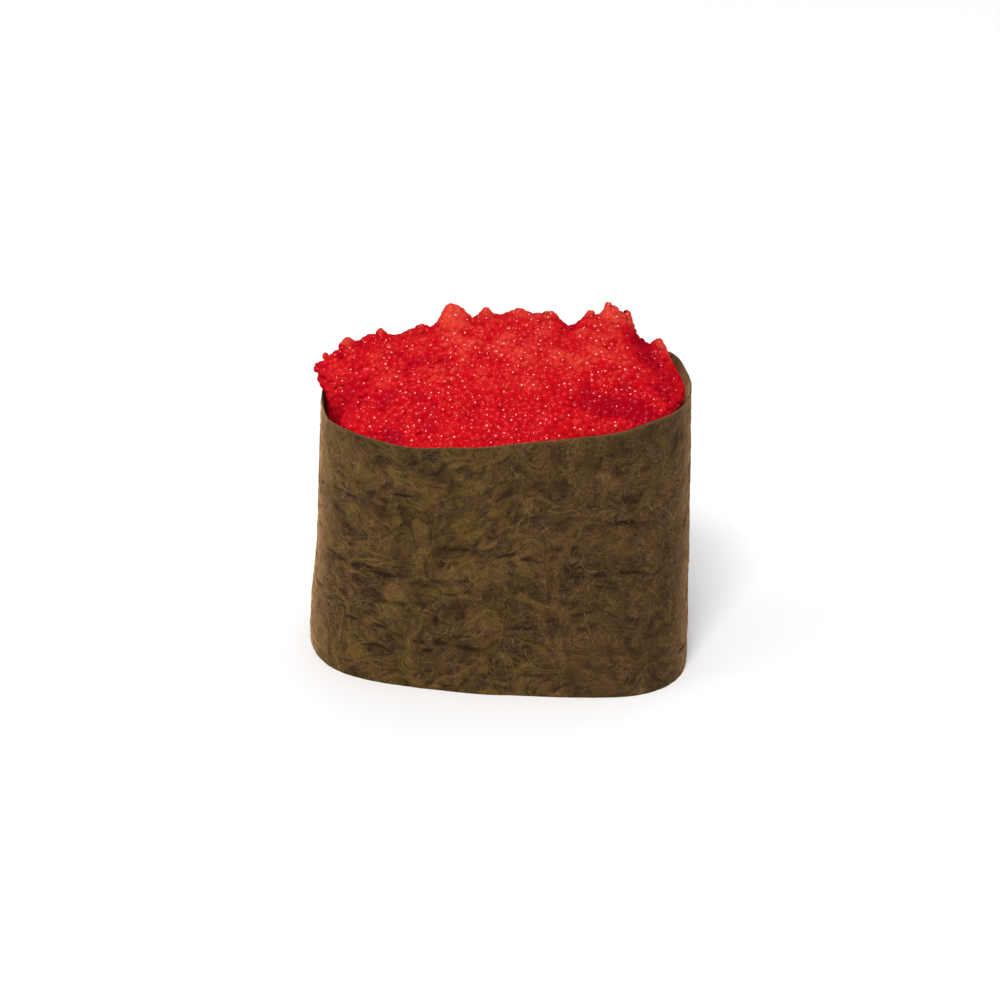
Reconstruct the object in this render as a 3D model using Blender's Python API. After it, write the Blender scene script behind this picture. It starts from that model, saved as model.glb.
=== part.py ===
"""Gunkan sushi: a strip of seaweed wrapped once round a block of rice, with a heap of fish roe
filling the top of the wrap and standing above its rim.

Metres, +Z up. The block stands on z = 0 with its long side along X and its short side along Y.
Three separate solids: nori (the wrap), rice (the block inside it) and roe (the heap on the rice).
"""
import math

import bmesh
import bpy
import numpy as np

MM = 0.001

# --- the wrap's outer face: a rounded oblong at the foot and another at the rim, ruled between ---
WRAP_HEIGHT = 36.0 * MM                      # height of the rim, before its slope and waves
FOOT_HALF = (26.05 * MM, 17.0 * MM)          # half length and half width at the foot
RIM_HALF = (24.82 * MM, 17.0 * MM)           # the same at the rim
FOOT_CENTRE = (0.33 * MM, -0.39 * MM)
RIM_CENTRE = (1.04 * MM, 0.06 * MM)
FOOT_TURN = math.radians(-0.5)               # the oblong twists a little from foot to rim
RIM_TURN = math.radians(9.0)
# superellipse exponents at the front left, front right, back left and back right corners
FOOT_SQUARENESS = (2.11, 3.71, 2.6, 2.6)
RIM_SQUARENESS = (1.80, 2.44, 2.5, 2.6)
RIM_SLOPE_X = 0.77 * MM                      # the rim is higher at the +X end
RIM_SLOPE_Y = 0.66 * MM                      # and higher at the back
FLARE = 0.61 * MM                            # the foot spreads at the -X end
FLARE_HEIGHT = 9.5 * MM                      # half of the spread is gone at this height
FLARE_EASE = 4.0 * MM
# shallow dents and swells round the wrap: (waves per turn, cosine size, sine size) in mm
FOOT_WAVES = ((2, -0.28, -0.50), (3, -0.50, 0.15), (4, -0.50, -0.16), (5, 0.50, -0.06))
RIM_WAVES = ((2, 0.07, 0.22), (3, 0.23, -0.22), (4, -0.37, 0.10), (5, 0.01, 0.10))
BACK_CALM = 0.3                              # share of those waves that is left at the back
CORNER_BLEND = 3.0                           # how quickly one corner's squareness gives way to the next
RIM_EDGE_WAVES = ((7, 0.10), (11, 0.08), (17, 0.05))   # (waves per turn, height in mm) of the cut edge

# --- the seaweed sheet ---
SHEET = 0.30 * MM                            # thickness
LAP_STEP = 0.45 * MM                         # the tucked-in end lies this far inside the outer layer
LAP_ANGLE = math.radians(62.0)               # how far the outer end runs over the tucked-in end
LAP_EASE = math.radians(24.0)                # the tucked-in end eases outward over this angle
START_ROOM = (0.34, 0.22)                    # radians before the start, and over which, what lies
                                             # inside the wrap makes room for the tucked-in end
FREE_EDGE_TOP = math.radians(20.0)           # where the outer free edge stands at the rim
FREE_EDGE_FOOT = math.radians(-7.0)          # and at the foot, so the edge slants

# --- fits between the pieces ---
GAP = 0.36 * MM

# --- the rice block ---
RICE_TOP = 25.5 * MM
RICE_CROWN = 2.2 * MM                        # the top falls this much from centre to side
RICE_ROUND = 2.2 * MM                        # rounding of the foot and of the top edge
RICE_SHOULDER = RICE_TOP - RICE_CROWN - RICE_ROUND
MIDDLE = (RIM_CENTRE[0] * 0.5, RIM_CENTRE[1] * 0.5)

# --- the heap of roe ---
EDGE_DROP = 0.45 * MM                        # the heap meets the wrap this far below the rim
LEFT_DROP = (3.0 * MM, 187.0, 12.0)          # extra drop, the angle where it is and its spread
BACK_DROP = (3.0 * MM, 16.0, 13.0)
CREST = 44.6 * MM                            # height of the heap's ridge, before lumps
CREST_Y = 5.0 * MM                           # the ridge runs along X at this Y
FRONT_FALL = 6.2 * MM                        # fall of the heap from ridge to front over FALL_REACH
BACK_FALL = 14.0 * MM
FALL_REACH = 18.0 * MM
LEFT_FALL = (2.0 * MM, -7.9 * MM, 1.5 * MM)  # step down to the left: size, place, softness
RIGHT_FALL = (3.4 * MM, 18.6 * MM, 0.75 * MM)
STEP_CRISP_Y = 7.0 * MM                      # in front of this the two steps grow softer,
STEP_SOFTENING = 0.35                        # by this much for each length further forward
DOME_EDGE = 6.0                              # how square the heap's shoulder is in plan
DOME_SHOULDER = 2.2                          # and in height
TIP = (2.7 * MM, 168.0, 9.0)                 # a clump that hangs over the rim: reach, angle, spread
TIP_CLEAR = 0.9 * MM                         # it leaves the wrap this far above the rim
TIP_TOP = 42.6 * MM                          # the plain dome's height there
TIP_RISE = (0.4 * MM, 2.0 * MM)              # it reaches out from this far above the rim, over this rise,
TIP_KNOB = (0.45, 2.8 * MM, 1.4 * MM)        # by this share of its reach, and by the rest from further up
TIP_SHARE = (0.68, 0.22)                     # and from this share of the way out, over this share
LEFT_PULL = (2.3 * MM, 187.0, 9.0)          # there the heap stands this much further in: size, angle, spread
RIGHT_PULL = (1.9 * MM, 7.0, 9.0)
LEAST_RISE = 1.0 * MM                        # the heap stands at least this far above its edge
# lumps and hollows in millimetres: (x, y, spread along x, spread along y, height)
LUMPS = (
    (-7.0, 8.6, 0.9, 2.4, 1.2), (-5.5, 8.6, 1.4, 2.4, 1.6), (14.7, 8.6, 0.75, 2.2, 1.9),
    (16.0, 8.6, 0.9, 2.2, 1.8), (17.7, 8.4, 0.9, 2.0, 2.1), (12.4, 8.6, 0.75, 1.8, 1.0),
    (9.7, 10.4, 1.5, 6.0, -1.9), (-1.6, 8.8, 1.1, 1.8, 0.9), (2.8, 8.8, 1.6, 2.2, 0.8),
    (7.3, 8.6, 1.2, 2.0, 0.7), (-15.8, 7.4, 0.8, 1.8, 1.1), (-20.6, 5.0, 1.25, 2.4, 3.7),
    (-22.2, 3.4, 0.9, 2.2, 2.2), (22.4, 5.6, 1.9, 3.2, 7.0), (19.6, 8.6, 0.8, 2.0, 0.9),
    (-10.2, 8.2, 1.1, 1.8, 0.9), (-3.1, 9.4, 0.9, 3.0, -0.6), (-21.1, 3.3, 0.8, 2.2, -2.2),
    (14.5, -9.0, 5.6, 2.2, -1.9), (-9.5, -1.5, 3.6, 1.8, -0.8), (9.0, -12.6, 3.4, 2.0, 0.7),
    (-13.4, 8.4, 1.2, 2.6, -0.4), (0.5, -8.4, 3.8, 2.8, 0.6), (-8.0, -8.4, 3.6, 2.6, 0.5),
    (-16.2, -5.6, 3.2, 2.6, 0.5), (3.6, -2.6, 3.6, 2.2, 0.5), (-2.4, -4.4, 2.6, 1.6, -0.4),
    (-14.4, -7.4, 2.4, 1.5, -0.6), (17.2, -2.6, 2.8, 2.0, 0.5), (8.2, -0.6, 2.4, 1.4, -0.4),
    (-4.0, 13.4, 3.4, 2.0, 0.6), (4.0, 13.8, 3.2, 2.0, 0.6), (-17.6, 6.4, 0.9, 1.6, 0.7),
)
# fine unevenness of the heap: (wave length in mm, height in mm, turn in degrees, shift)
RIPPLES = ((5.3, 0.13, 20.0, 0.4), (4.4, 0.12, 95.0, 1.9), (3.7, 0.09, 150.0, 3.1), (3.1, 0.07, 60.0, 5.2))

# --- mesh fineness ---
END_CLEAR = 0.03                             # radians kept free beside the strip's two ends
SLANT_REACH = math.radians(50.0)             # the strip's columns lean toward its free edge over this
SHARP_ANGLE = math.radians(40.0)
ROUND_STEPS = 72                             # facets per turn of the wrap and the roe
RICE_STEPS = 48
NORI_ROWS = 10
ROE_RINGS = 19
EDGE_CROWD = 0.35                            # how much closer the roe's rings lie near its edge
SLOPE_STEP = 0.05                            # radians each side, to find the way square to the wrap


def clear_scene():
    """Remove every object so that the script starts from nothing."""
    for item in list(bpy.data.objects):
        bpy.data.objects.remove(item, do_unlink=True)


def plain_material(name, colour, roughness):
    """A Principled material of one colour."""
    material = bpy.data.materials.new(name)
    material.use_nodes = True
    shader = material.node_tree.nodes["Principled BSDF"]
    shader.inputs["Base Color"].default_value = (*colour, 1.0)
    shader.inputs["Roughness"].default_value = roughness
    shader.inputs["Metallic"].default_value = 0.0
    material.diffuse_color = (*colour, 1.0)
    return material


def oblong(theta, half, centre, turn, squareness, waves):
    """A rounded oblong in plan: a superellipse whose four corners blend from one squareness to the
    next, turned, with waves added square to its edge."""
    cos, sin = np.cos(theta), np.sin(theta)
    left = 0.5 * (1.0 - np.tanh(CORNER_BLEND * cos))
    front = 0.5 * (1.0 - np.tanh(CORNER_BLEND * sin))
    front_square = left * squareness[0] + (1.0 - left) * squareness[1]
    back_square = left * squareness[2] + (1.0 - left) * squareness[3]
    power = 2.0 / (front * front_square + (1.0 - front) * back_square)
    x = half[0] * np.sign(cos) * np.abs(cos) ** power
    y = half[1] * np.sign(sin) * np.abs(sin) ** power
    px = centre[0] + x * math.cos(turn) - y * math.sin(turn)
    py = centre[1] + x * math.sin(turn) + y * math.cos(turn)
    swell = sum(c * np.cos(k * theta) + s * np.sin(k * theta) for k, c, s in waves) * MM
    swell = swell * (BACK_CALM + (1.0 - BACK_CALM) * front)
    nx, ny = cos / half[0], sin / half[1]
    length = np.hypot(nx, ny)
    return px + swell * nx / length, py + swell * ny / length


def rim_height(theta):
    """Height of the wrap's cut top edge."""
    waves = sum(h * np.sin(k * theta + k) for k, h in RIM_EDGE_WAVES) * MM
    return WRAP_HEIGHT + RIM_SLOPE_X * np.cos(theta) + RIM_SLOPE_Y * (1.0 + np.sin(theta)) + waves


def wrap_face(theta, up, inward):
    """Points of the wrap at angle theta and share of height up, moved inward square to the face."""
    def at(angle):
        foot = oblong(angle, FOOT_HALF, FOOT_CENTRE, FOOT_TURN, FOOT_SQUARENESS, FOOT_WAVES)
        rim = oblong(angle, RIM_HALF, RIM_CENTRE, RIM_TURN, RIM_SQUARENESS, RIM_WAVES)
        return foot[0] + (rim[0] - foot[0]) * up, foot[1] + (rim[1] - foot[1]) * up
    x, y = at(theta)
    xa, ya = at(theta - SLOPE_STEP)
    xb, yb = at(theta + SLOPE_STEP)
    length = np.hypot(xb - xa, yb - ya)
    nx, ny = (yb - ya) / length, (xa - xb) / length
    z = rim_height(theta) * up
    low = 0.5 * (1.0 - np.tanh((z - FLARE_HEIGHT) / FLARE_EASE))
    spread = FLARE * low * np.maximum(0.0, -np.cos(theta)) ** 2
    return x - spread - nx * inward, y - ny * inward, z


def even_angles(count):
    """Angles that step round the wrap in equal lengths, measured at mid height."""
    fine = np.linspace(0.0, 2.0 * math.pi, 4001)
    x, y, _ = wrap_face(fine, 0.5, 0.0)
    run = np.concatenate([[0.0], np.cumsum(np.hypot(np.diff(x), np.diff(y)))])
    return np.interp(np.linspace(0.0, run[-1], count + 1)[:-1], run, fine)


def smooth(value):
    """Ease from 0 to 1."""
    value = np.clip(value, 0.0, 1.0)
    return value * value * (3.0 - 2.0 * value)


def tuck(theta_past_start):
    """How far inside the outer face the sheet lies, from its tucked-in start onward."""
    lap = LAP_ANGLE + FREE_EDGE_TOP - FREE_EDGE_FOOT
    return LAP_STEP * (1.0 - smooth((theta_past_start - lap) / LAP_EASE))


def start_angle():
    """Angle where the tucked-in end starts."""
    return FREE_EDGE_FOOT - LAP_ANGLE


def inner_limit(theta):
    """Inset of the sheet's innermost face, eased in just before the tucked-in start."""
    past = np.mod(theta - start_angle(), 2.0 * math.pi)
    ease = LAP_STEP * smooth((past - 2.0 * math.pi + START_ROOM[0]) / START_ROOM[1])
    return np.maximum(tuck(past), ease) + SHEET


def finish_object(name, body, places, material):
    """Move a body's points to their places, make its mesh and object, and close the bmesh."""
    for vertex, place in zip(body.verts, places):
        vertex.co = place
    bmesh.ops.recalc_face_normals(body, faces=body.faces)
    bmesh.ops.triangulate(body, faces=body.faces)
    if body.calc_volume(signed=True) < 0.0:  # a thin rolled sheet may come out facing inwards
        bmesh.ops.reverse_faces(body, faces=body.faces)
    mesh = bpy.data.meshes.new(name)
    body.to_mesh(mesh)
    body.free()
    mesh.materials.append(material)
    mesh.shade_smooth()
    mesh.set_sharp_from_angle(angle=SHARP_ANGLE)
    made = bpy.data.objects.new(name, mesh)
    bpy.context.scene.collection.objects.link(made)
    return made


def ball_through_rings(name, rings, low_pole, high_pole, material):
    """A UV sphere pulled out so that its rings of points, low to high, lie on the given rings."""
    columns = rings[0].shape[0]
    body = bmesh.new()
    bmesh.ops.create_uvsphere(body, u_segments=columns, v_segments=len(rings) + 1, radius=1.0)
    ball = np.array([vertex.co[:] for vertex in body.verts])
    rise = np.arccos(np.clip(-ball[:, 2], -1.0, 1.0)) / math.pi * (len(rings) + 1)
    level = np.rint(rise).astype(int)
    column = np.rint(np.arctan2(ball[:, 1], ball[:, 0]) / (2.0 * math.pi) * columns).astype(int) % columns
    layers = np.stack([np.tile(low_pole, (columns, 1)), *rings, np.tile(high_pole, (columns, 1))])
    return finish_object(name, body, layers[level, column], material)


def strip_angles():
    """Angles of the strip's points along its length, from its tucked-in start to its free end."""
    ring = even_angles(ROUND_STEPS)
    start, end = start_angle(), FREE_EDGE_TOP + 2.0 * math.pi
    turns = np.concatenate([ring - 2.0 * math.pi, ring, ring + 2.0 * math.pi])
    between = turns[(turns > start + END_CLEAR) & (turns < end - END_CLEAR)]
    return np.concatenate([[start], between, [end]])


def make_nori():
    """The wrap: a flat strip rolled once round, its outer end lapped over its tucked-in start."""
    material = plain_material("nori", (0.085, 0.052, 0.022), 0.72)
    angles = strip_angles()
    body = bmesh.new()
    bmesh.ops.create_grid(body, x_segments=len(angles) - 1, y_segments=NORI_ROWS, size=1.0)
    strip = bmesh.ops.extrude_face_region(body, geom=body.faces[:])
    underside = [item for item in strip["geom"] if isinstance(item, bmesh.types.BMVert)]
    bmesh.ops.translate(body, verts=underside, vec=(0.0, 0.0, -1.0))
    flat = np.array([vertex.co[:] for vertex in body.verts])
    theta = angles[np.rint((flat[:, 0] + 1.0) * 0.5 * (len(angles) - 1)).astype(int)]
    up = (flat[:, 1] + 1.0) * 0.5
    # the last stretch is drawn in so that it ends on the slanted free edge
    end = angles[-1]
    cut = end - (FREE_EDGE_TOP - FREE_EDGE_FOOT) * (1.0 - up)
    pivot = end - SLANT_REACH
    theta = np.where(theta > pivot, pivot + (theta - pivot) * (cut - pivot) / (end - pivot), theta)
    inset = tuck(theta - start_angle()) - flat[:, 2] * SHEET
    return finish_object("nori", body, np.stack(wrap_face(theta, up, inset), axis=1), material)


def rice_top(share):
    """Height of the rice's top at a share of the way from the middle to the wrap."""
    return RICE_TOP - RICE_CROWN * share ** 4


def inner_ring(theta, height, inset):
    """Points inside the wrap at one height, or at one height for each angle."""
    up = height / rim_height(theta)
    x, y, _ = wrap_face(theta, up, inner_limit(theta) + inset)
    return np.stack([x, y, np.broadcast_to(height, theta.shape)], axis=1)


def shrink(ring, share, height):
    """A ring drawn in toward the middle, at a new height."""
    flat = MIDDLE + (ring[:, :2] - MIDDLE) * share
    return np.column_stack([flat, np.broadcast_to(height, ring.shape[0])])


def make_rice():
    """The packed rice block, flat underneath, rounded at its edges, a little crowned on top."""
    material = plain_material("rice", (0.82, 0.80, 0.73), 0.55)
    theta = even_angles(RICE_STEPS)
    flat = inner_ring(theta, 0.0, GAP + RICE_ROUND)
    rings = [shrink(flat, share, 0.0) for share in (0.35, 0.7, 1.0)]
    for angle in np.radians((30.0, 60.0, 90.0)):
        rise, side = RICE_ROUND * (1.0 - np.cos(angle)), RICE_ROUND * (1.0 - np.sin(angle))
        rings.append(inner_ring(theta, rise, GAP + side))
    for share in (0.33, 0.66, 1.0):
        rings.append(inner_ring(theta, RICE_ROUND + (RICE_SHOULDER - RICE_ROUND) * share, GAP))
    rings.append(inner_ring(theta, RICE_SHOULDER + RICE_ROUND * 0.55, GAP + RICE_ROUND * 0.16))
    edge = inner_ring(theta, RICE_SHOULDER, GAP)
    rings += [shrink(edge, share, rice_top(share)) for share in (0.93, 0.75, 0.5, 0.25)]
    return ball_through_rings("rice", rings, (*MIDDLE, 0.0), (*MIDDLE, rice_top(0.0)), material)


def near(theta, place, spread):
    """A smooth hump round one angle, in degrees."""
    off = (np.degrees(theta) - place + 180.0) % 360.0 - 180.0
    return np.exp(-(off / spread) ** 2)


def heap_height(x, y):
    """Height of the heap's top: a ridge along X that falls to the sides, with lumps and ripples."""
    off = (y - CREST_Y) / FALL_REACH
    top = CREST - np.where(off < 0.0, FRONT_FALL, BACK_FALL) * off * off
    soft = STEP_SOFTENING * np.maximum(0.0, STEP_CRISP_Y - y)
    top = top - LEFT_FALL[0] * 0.5 * (1.0 + np.tanh((LEFT_FALL[1] - x) / (LEFT_FALL[2] + soft)))
    top = top - RIGHT_FALL[0] * 0.5 * (1.0 + np.tanh((x - RIGHT_FALL[1]) / (RIGHT_FALL[2] + soft)))
    for lx, ly, sx, sy, height in LUMPS:
        reach = ((x / MM - lx) / sx) ** 2 + ((y / MM - ly) / sy) ** 2
        top = top + height * MM * np.exp(-reach)
    for length, height, turn, shift in RIPPLES:
        along = x * math.cos(math.radians(turn)) + y * math.sin(math.radians(turn))
        top = top + height * MM * np.sin(2.0 * math.pi * along / (length * MM) + shift)
    return top


def heap_edge(theta):
    """Height where the heap meets the wrap."""
    drop = EDGE_DROP
    for size, place, spread in (LEFT_DROP, BACK_DROP):
        drop = drop + size * near(theta, place, spread)
    share = near(theta, *TIP[1:])
    return rim_height(theta) - drop * (1.0 - share) + TIP_CLEAR * share


def heap_pull(theta):
    """How far the heap's edge stands back from the wrap, beyond the plain gap."""
    return sum(size * near(theta, place, spread) for size, place, spread in (LEFT_PULL, RIGHT_PULL))


def heap_ring(theta, share):
    """A ring of the heap's top, at a share of the way from the middle to the wrap."""
    edge_z = heap_edge(theta)
    edge = inner_ring(theta, edge_z, GAP + heap_pull(theta))
    flat = shrink(edge, share, 0.0)
    top = heap_height(flat[:, 0], flat[:, 1])
    rise = (1.0 - share ** DOME_EDGE) ** (1.0 / DOME_SHOULDER)
    height = edge_z + np.maximum(top - edge_z, LEAST_RISE) * rise
    # above the rim a clump reaches out along X over the wrap; it follows the dome without its lumps
    over = edge_z + (TIP_TOP - edge_z) * rise - rim_height(theta)
    above = TIP_KNOB[0] * smooth((over - TIP_RISE[0]) / TIP_RISE[1])
    above = above + (1.0 - TIP_KNOB[0]) * smooth((over - TIP_KNOB[1]) / TIP_KNOB[2])
    above = above * smooth((share - TIP_SHARE[0]) / TIP_SHARE[1])
    out = TIP[0] * near(theta, *TIP[1:]) * above
    return np.column_stack([flat[:, 0] - out, flat[:, 1], height])


def make_roe():
    """The heap of roe: it fills the wrap above the rice and stands up in uneven lumps."""
    material = plain_material("roe", (0.62, 0.018, 0.022), 0.28)
    theta = even_angles(ROUND_STEPS)
    base = inner_ring(theta, RICE_SHOULDER, GAP)
    rings = [shrink(base, share, rice_top(share) + GAP) for share in (0.25, 0.5, 0.75, 0.93)]
    floor, edge_z = rice_top(0.97) + GAP * 1.3, heap_edge(theta)
    for share in (0.0, 0.5, 1.0):
        inset = GAP + heap_pull(theta) * share
        rings.append(inner_ring(theta, floor + (edge_z - floor) * share, inset))
    way = np.linspace(1.0, 0.0, ROE_RINGS + 1)[1:-1]
    shares = EDGE_CROWD * np.sin(way * math.pi / 2.0) + (1.0 - EDGE_CROWD) * way
    rings += [heap_ring(theta, share) for share in shares]
    crown = float(heap_height(*MIDDLE))
    return ball_through_rings("roe", rings, (*MIDDLE, rice_top(0.0) + GAP), (*MIDDLE, crown), material)


def main():
    """Build the three pieces."""
    clear_scene()
    make_nori()
    make_rice()
    make_roe()


main()
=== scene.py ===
"""Looks of a gunkan sushi, built round its packed CAD frame.

A strip of nori is rolled once round a block of rice, and a heap of small red roe fills the wrap
above the rice. Metres, +Z up, the long side along X, the front toward -Y.
The form functions repeat those of the CAD part, so every finished face lies where its solid's does.
"""

import math

import bpy
import numpy as np
from bpy.props import FloatProperty, FloatVectorProperty, IntProperty, PointerProperty
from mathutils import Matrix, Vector


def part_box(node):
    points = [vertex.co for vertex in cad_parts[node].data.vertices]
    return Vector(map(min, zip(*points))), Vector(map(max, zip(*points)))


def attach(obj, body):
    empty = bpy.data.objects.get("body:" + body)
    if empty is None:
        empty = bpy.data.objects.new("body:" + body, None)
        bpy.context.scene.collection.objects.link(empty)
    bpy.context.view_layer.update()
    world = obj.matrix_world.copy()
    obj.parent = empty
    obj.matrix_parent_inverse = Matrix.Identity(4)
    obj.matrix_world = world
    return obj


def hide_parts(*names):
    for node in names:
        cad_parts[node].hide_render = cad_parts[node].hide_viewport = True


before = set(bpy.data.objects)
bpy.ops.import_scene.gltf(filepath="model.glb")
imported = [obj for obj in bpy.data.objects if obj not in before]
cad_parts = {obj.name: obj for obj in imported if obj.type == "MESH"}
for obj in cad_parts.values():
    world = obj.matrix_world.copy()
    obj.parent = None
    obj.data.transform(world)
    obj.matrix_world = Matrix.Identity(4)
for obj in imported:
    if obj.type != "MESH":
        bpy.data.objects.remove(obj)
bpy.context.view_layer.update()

bl_info = {
    "name": "Gunkan sushi",
    "version": (1, 0, 0),
    "blender": (4, 5, 0),
    "location": "View3D > Sidebar > Sushi",
    "description": "A gunkan sushi: a nori wrap round rice, with a heap of red roe",
    "category": "Add Mesh",
}

MM = 0.001
TURN = 2.0 * math.pi

# --- form of the wrap: a rounded oblong at the foot and another at the rim, ruled between ---
WRAP_HEIGHT = 36.0 * MM
FOOT_HALF = (26.05 * MM, 17.0 * MM)          # half length and half width
RIM_HALF = (24.82 * MM, 17.0 * MM)
FOOT_CENTRE = (0.33 * MM, -0.39 * MM)
RIM_CENTRE = (1.04 * MM, 0.06 * MM)
FOOT_TURN = math.radians(-0.5)
RIM_TURN = math.radians(9.0)
FOOT_SQUARENESS = (2.11, 3.71, 2.6, 2.6)     # superellipse exponents: front left, front right,
RIM_SQUARENESS = (1.80, 2.44, 2.5, 2.6)      # back left, back right
RIM_SLOPE_X = 0.77 * MM
RIM_SLOPE_Y = 0.66 * MM
FLARE = 0.61 * MM                            # the foot spreads at the -X end
FLARE_HEIGHT = 9.5 * MM
FLARE_EASE = 4.0 * MM
FOOT_WAVES = ((2, -0.28, -0.50), (3, -0.50, 0.15), (4, -0.50, -0.16), (5, 0.50, -0.06))
RIM_WAVES = ((2, 0.07, 0.22), (3, 0.23, -0.22), (4, -0.37, 0.10), (5, 0.01, 0.10))
BACK_CALM = 0.3
CORNER_BLEND = 3.0
RIM_EDGE_WAVES = ((7, 0.10), (11, 0.08), (17, 0.05))
SLOPE_STEP = 0.05                            # radians each side, to find the way square to the wrap

# --- how the strip is rolled ---
CAD_SHEET = 0.30 * MM                        # the solid strip's thickness
LAP_STEP = 0.45 * MM                         # the solid's tucked-in end lies this far inside
LAP_SHOWN = 0.34 * MM                        # the finished one lies closer
RELIEF_MOST = 0.06 * MM                      # how far the relief may stand proud of the solid's face
PRESSED = 0.4                                # the cut rim's share of the sheet's thickness
PRESS_REACH = 1.2 * MM
CUT_EDGE = 0.22 * MM                         # the paler stretch below the cut
LAP_ANGLE = math.radians(62.0)
LAP_EASE = math.radians(24.0)
START_ROOM = (0.34, 0.22)
FREE_EDGE_TOP = math.radians(20.0)
FREE_EDGE_FOOT = math.radians(-7.0)
SLANT_REACH = math.radians(50.0)
STRIP_START = FREE_EDGE_FOOT - LAP_ANGLE
STRIP_END = FREE_EDGE_TOP + TURN

# --- form of the heap of roe ---
HEAP_CLEAR = 0.10 * MM                       # the roe all but touches the sheet
MIDDLE = (RIM_CENTRE[0] * 0.5, RIM_CENTRE[1] * 0.5)
EDGE_DROP = 0.45 * MM                        # the heap meets the wrap this far below the rim
LEFT_DROP = (3.0 * MM, 187.0, 12.0)          # extra drop, the angle where it is and its spread
BACK_DROP = (3.0 * MM, 16.0, 13.0)
CREST = 44.6 * MM
CREST_Y = 5.0 * MM
FRONT_FALL = 6.2 * MM
BACK_FALL = 14.0 * MM
FALL_REACH = 18.0 * MM
LEFT_FALL = (2.0 * MM, -7.9 * MM, 1.5 * MM)  # step down: size, place, softness
RIGHT_FALL = (3.4 * MM, 18.6 * MM, 0.75 * MM)
STEP_CRISP_Y = 7.0 * MM                      # in front of this the two steps grow softer
STEP_SOFTENING = 0.35
DOME_EDGE = 6.0
DOME_SHOULDER = 2.2
TIP = (2.7 * MM, 168.0, 9.0)                 # a clump that hangs over the rim: reach, angle, spread
TIP_CLEAR = 0.9 * MM
TIP_TOP = 42.6 * MM
TIP_RISE = (0.4 * MM, 2.0 * MM)              # its lower part reaches out from this far above the rim,
TIP_KNOB = (0.45, 2.8 * MM, 1.4 * MM)        # a share of the reach; the rest from this far up
TIP_SHARE = (0.68, 0.22)
LEFT_PULL = (2.3 * MM, 187.0, 9.0)           # the heap stands this much further in: size, angle, spread
RIGHT_PULL = (1.9 * MM, 7.0, 9.0)
LEAST_RISE = 1.0 * MM
# lumps and hollows in millimetres: (x, y, spread along x, spread along y, height)
LUMPS = (
    (-7.0, 8.6, 0.9, 2.4, 1.2), (-5.5, 8.6, 1.4, 2.4, 1.6), (14.7, 8.6, 0.75, 2.2, 1.9),
    (16.0, 8.6, 0.9, 2.2, 1.8), (17.7, 8.4, 0.9, 2.0, 2.1), (12.4, 8.6, 0.75, 1.8, 1.0),
    (9.7, 10.4, 1.5, 6.0, -1.9), (-1.6, 8.8, 1.1, 1.8, 0.9), (2.8, 8.8, 1.6, 2.2, 0.8),
    (7.3, 8.6, 1.2, 2.0, 0.7), (-15.8, 7.4, 0.8, 1.8, 1.1), (-20.6, 5.0, 1.25, 2.4, 3.7),
    (-22.2, 3.4, 0.9, 2.2, 2.2), (22.4, 5.6, 1.9, 3.2, 7.0), (19.6, 8.6, 0.8, 2.0, 0.9),
    (-10.2, 8.2, 1.1, 1.8, 0.9), (-3.1, 9.4, 0.9, 3.0, -0.6), (-21.1, 3.3, 0.8, 2.2, -2.2),
    (14.5, -9.0, 5.6, 2.2, -1.9), (-9.5, -1.5, 3.6, 1.8, -0.8), (9.0, -12.6, 3.4, 2.0, 0.7),
    (-13.4, 8.4, 1.2, 2.6, -0.4), (0.5, -8.4, 3.8, 2.8, 0.6), (-8.0, -8.4, 3.6, 2.6, 0.5),
    (-16.2, -5.6, 3.2, 2.6, 0.5), (3.6, -2.6, 3.6, 2.2, 0.5), (-2.4, -4.4, 2.6, 1.6, -0.4),
    (-14.4, -7.4, 2.4, 1.5, -0.6), (17.2, -2.6, 2.8, 2.0, 0.5), (8.2, -0.6, 2.4, 1.4, -0.4),
    (-4.0, 13.4, 3.4, 2.0, 0.6), (4.0, 13.8, 3.2, 2.0, 0.6), (-17.6, 6.4, 0.9, 1.6, 0.7),
)
# ripples: length and height in millimetres, direction in degrees, shift in radians
RIPPLES = ((5.3, 0.13, 20.0, 0.4), (4.4, 0.12, 95.0, 1.9), (3.7, 0.09, 150.0, 3.1), (3.1, 0.07, 60.0, 5.2))
HEAP_MEAN = (20.0 * MM, 7.0 * MM)            # mean half width and rise, to space the heap's grid
STRAIGHT_STEP = 0.004                        # shares of the way out: to find the way square to the heap,
SOFT_STEP = 0.07                             # and the same evened out over a wider patch
EGG_FLAT = 0.72                              # eggs sink into one another: their height over their width,
LOOSE_FLAT = 0.85                            # and that of the loose ones
EDGE_SHARE = 0.992                           # eggs lie at most this share of the way out
LOWER_EGG = (0.54, 0.25)                     # the core's eggs: radius and depth, as shares of an egg's width,
CAP_SHOWN = 0.75                             # and how much of their caps stands out
LOOSE_LIFT = 0.16                            # loose eggs stand this share of their width higher
LOOSE_SHIFT = 0.10 * MM
EGG_STRETCH = 0.06                           # how far from round an egg is
DRY_EGGS = (0.42, 0.34)                      # the share of dull eggs, and of those that are half wet
RING_REACHES = (1.6 * MM, 3.2 * MM, 5.4 * MM)  # the rings that tell a hollow from a peak
RING_PLACES = 8

# --- form of the rice block ---
RICE_TOP = 25.5 * MM
RICE_GAP = 0.36 * MM
RICE_ROUND = 2.2 * MM
RICE_FOOT = 0.9 * MM                         # the core's underside, behind the grains

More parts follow.
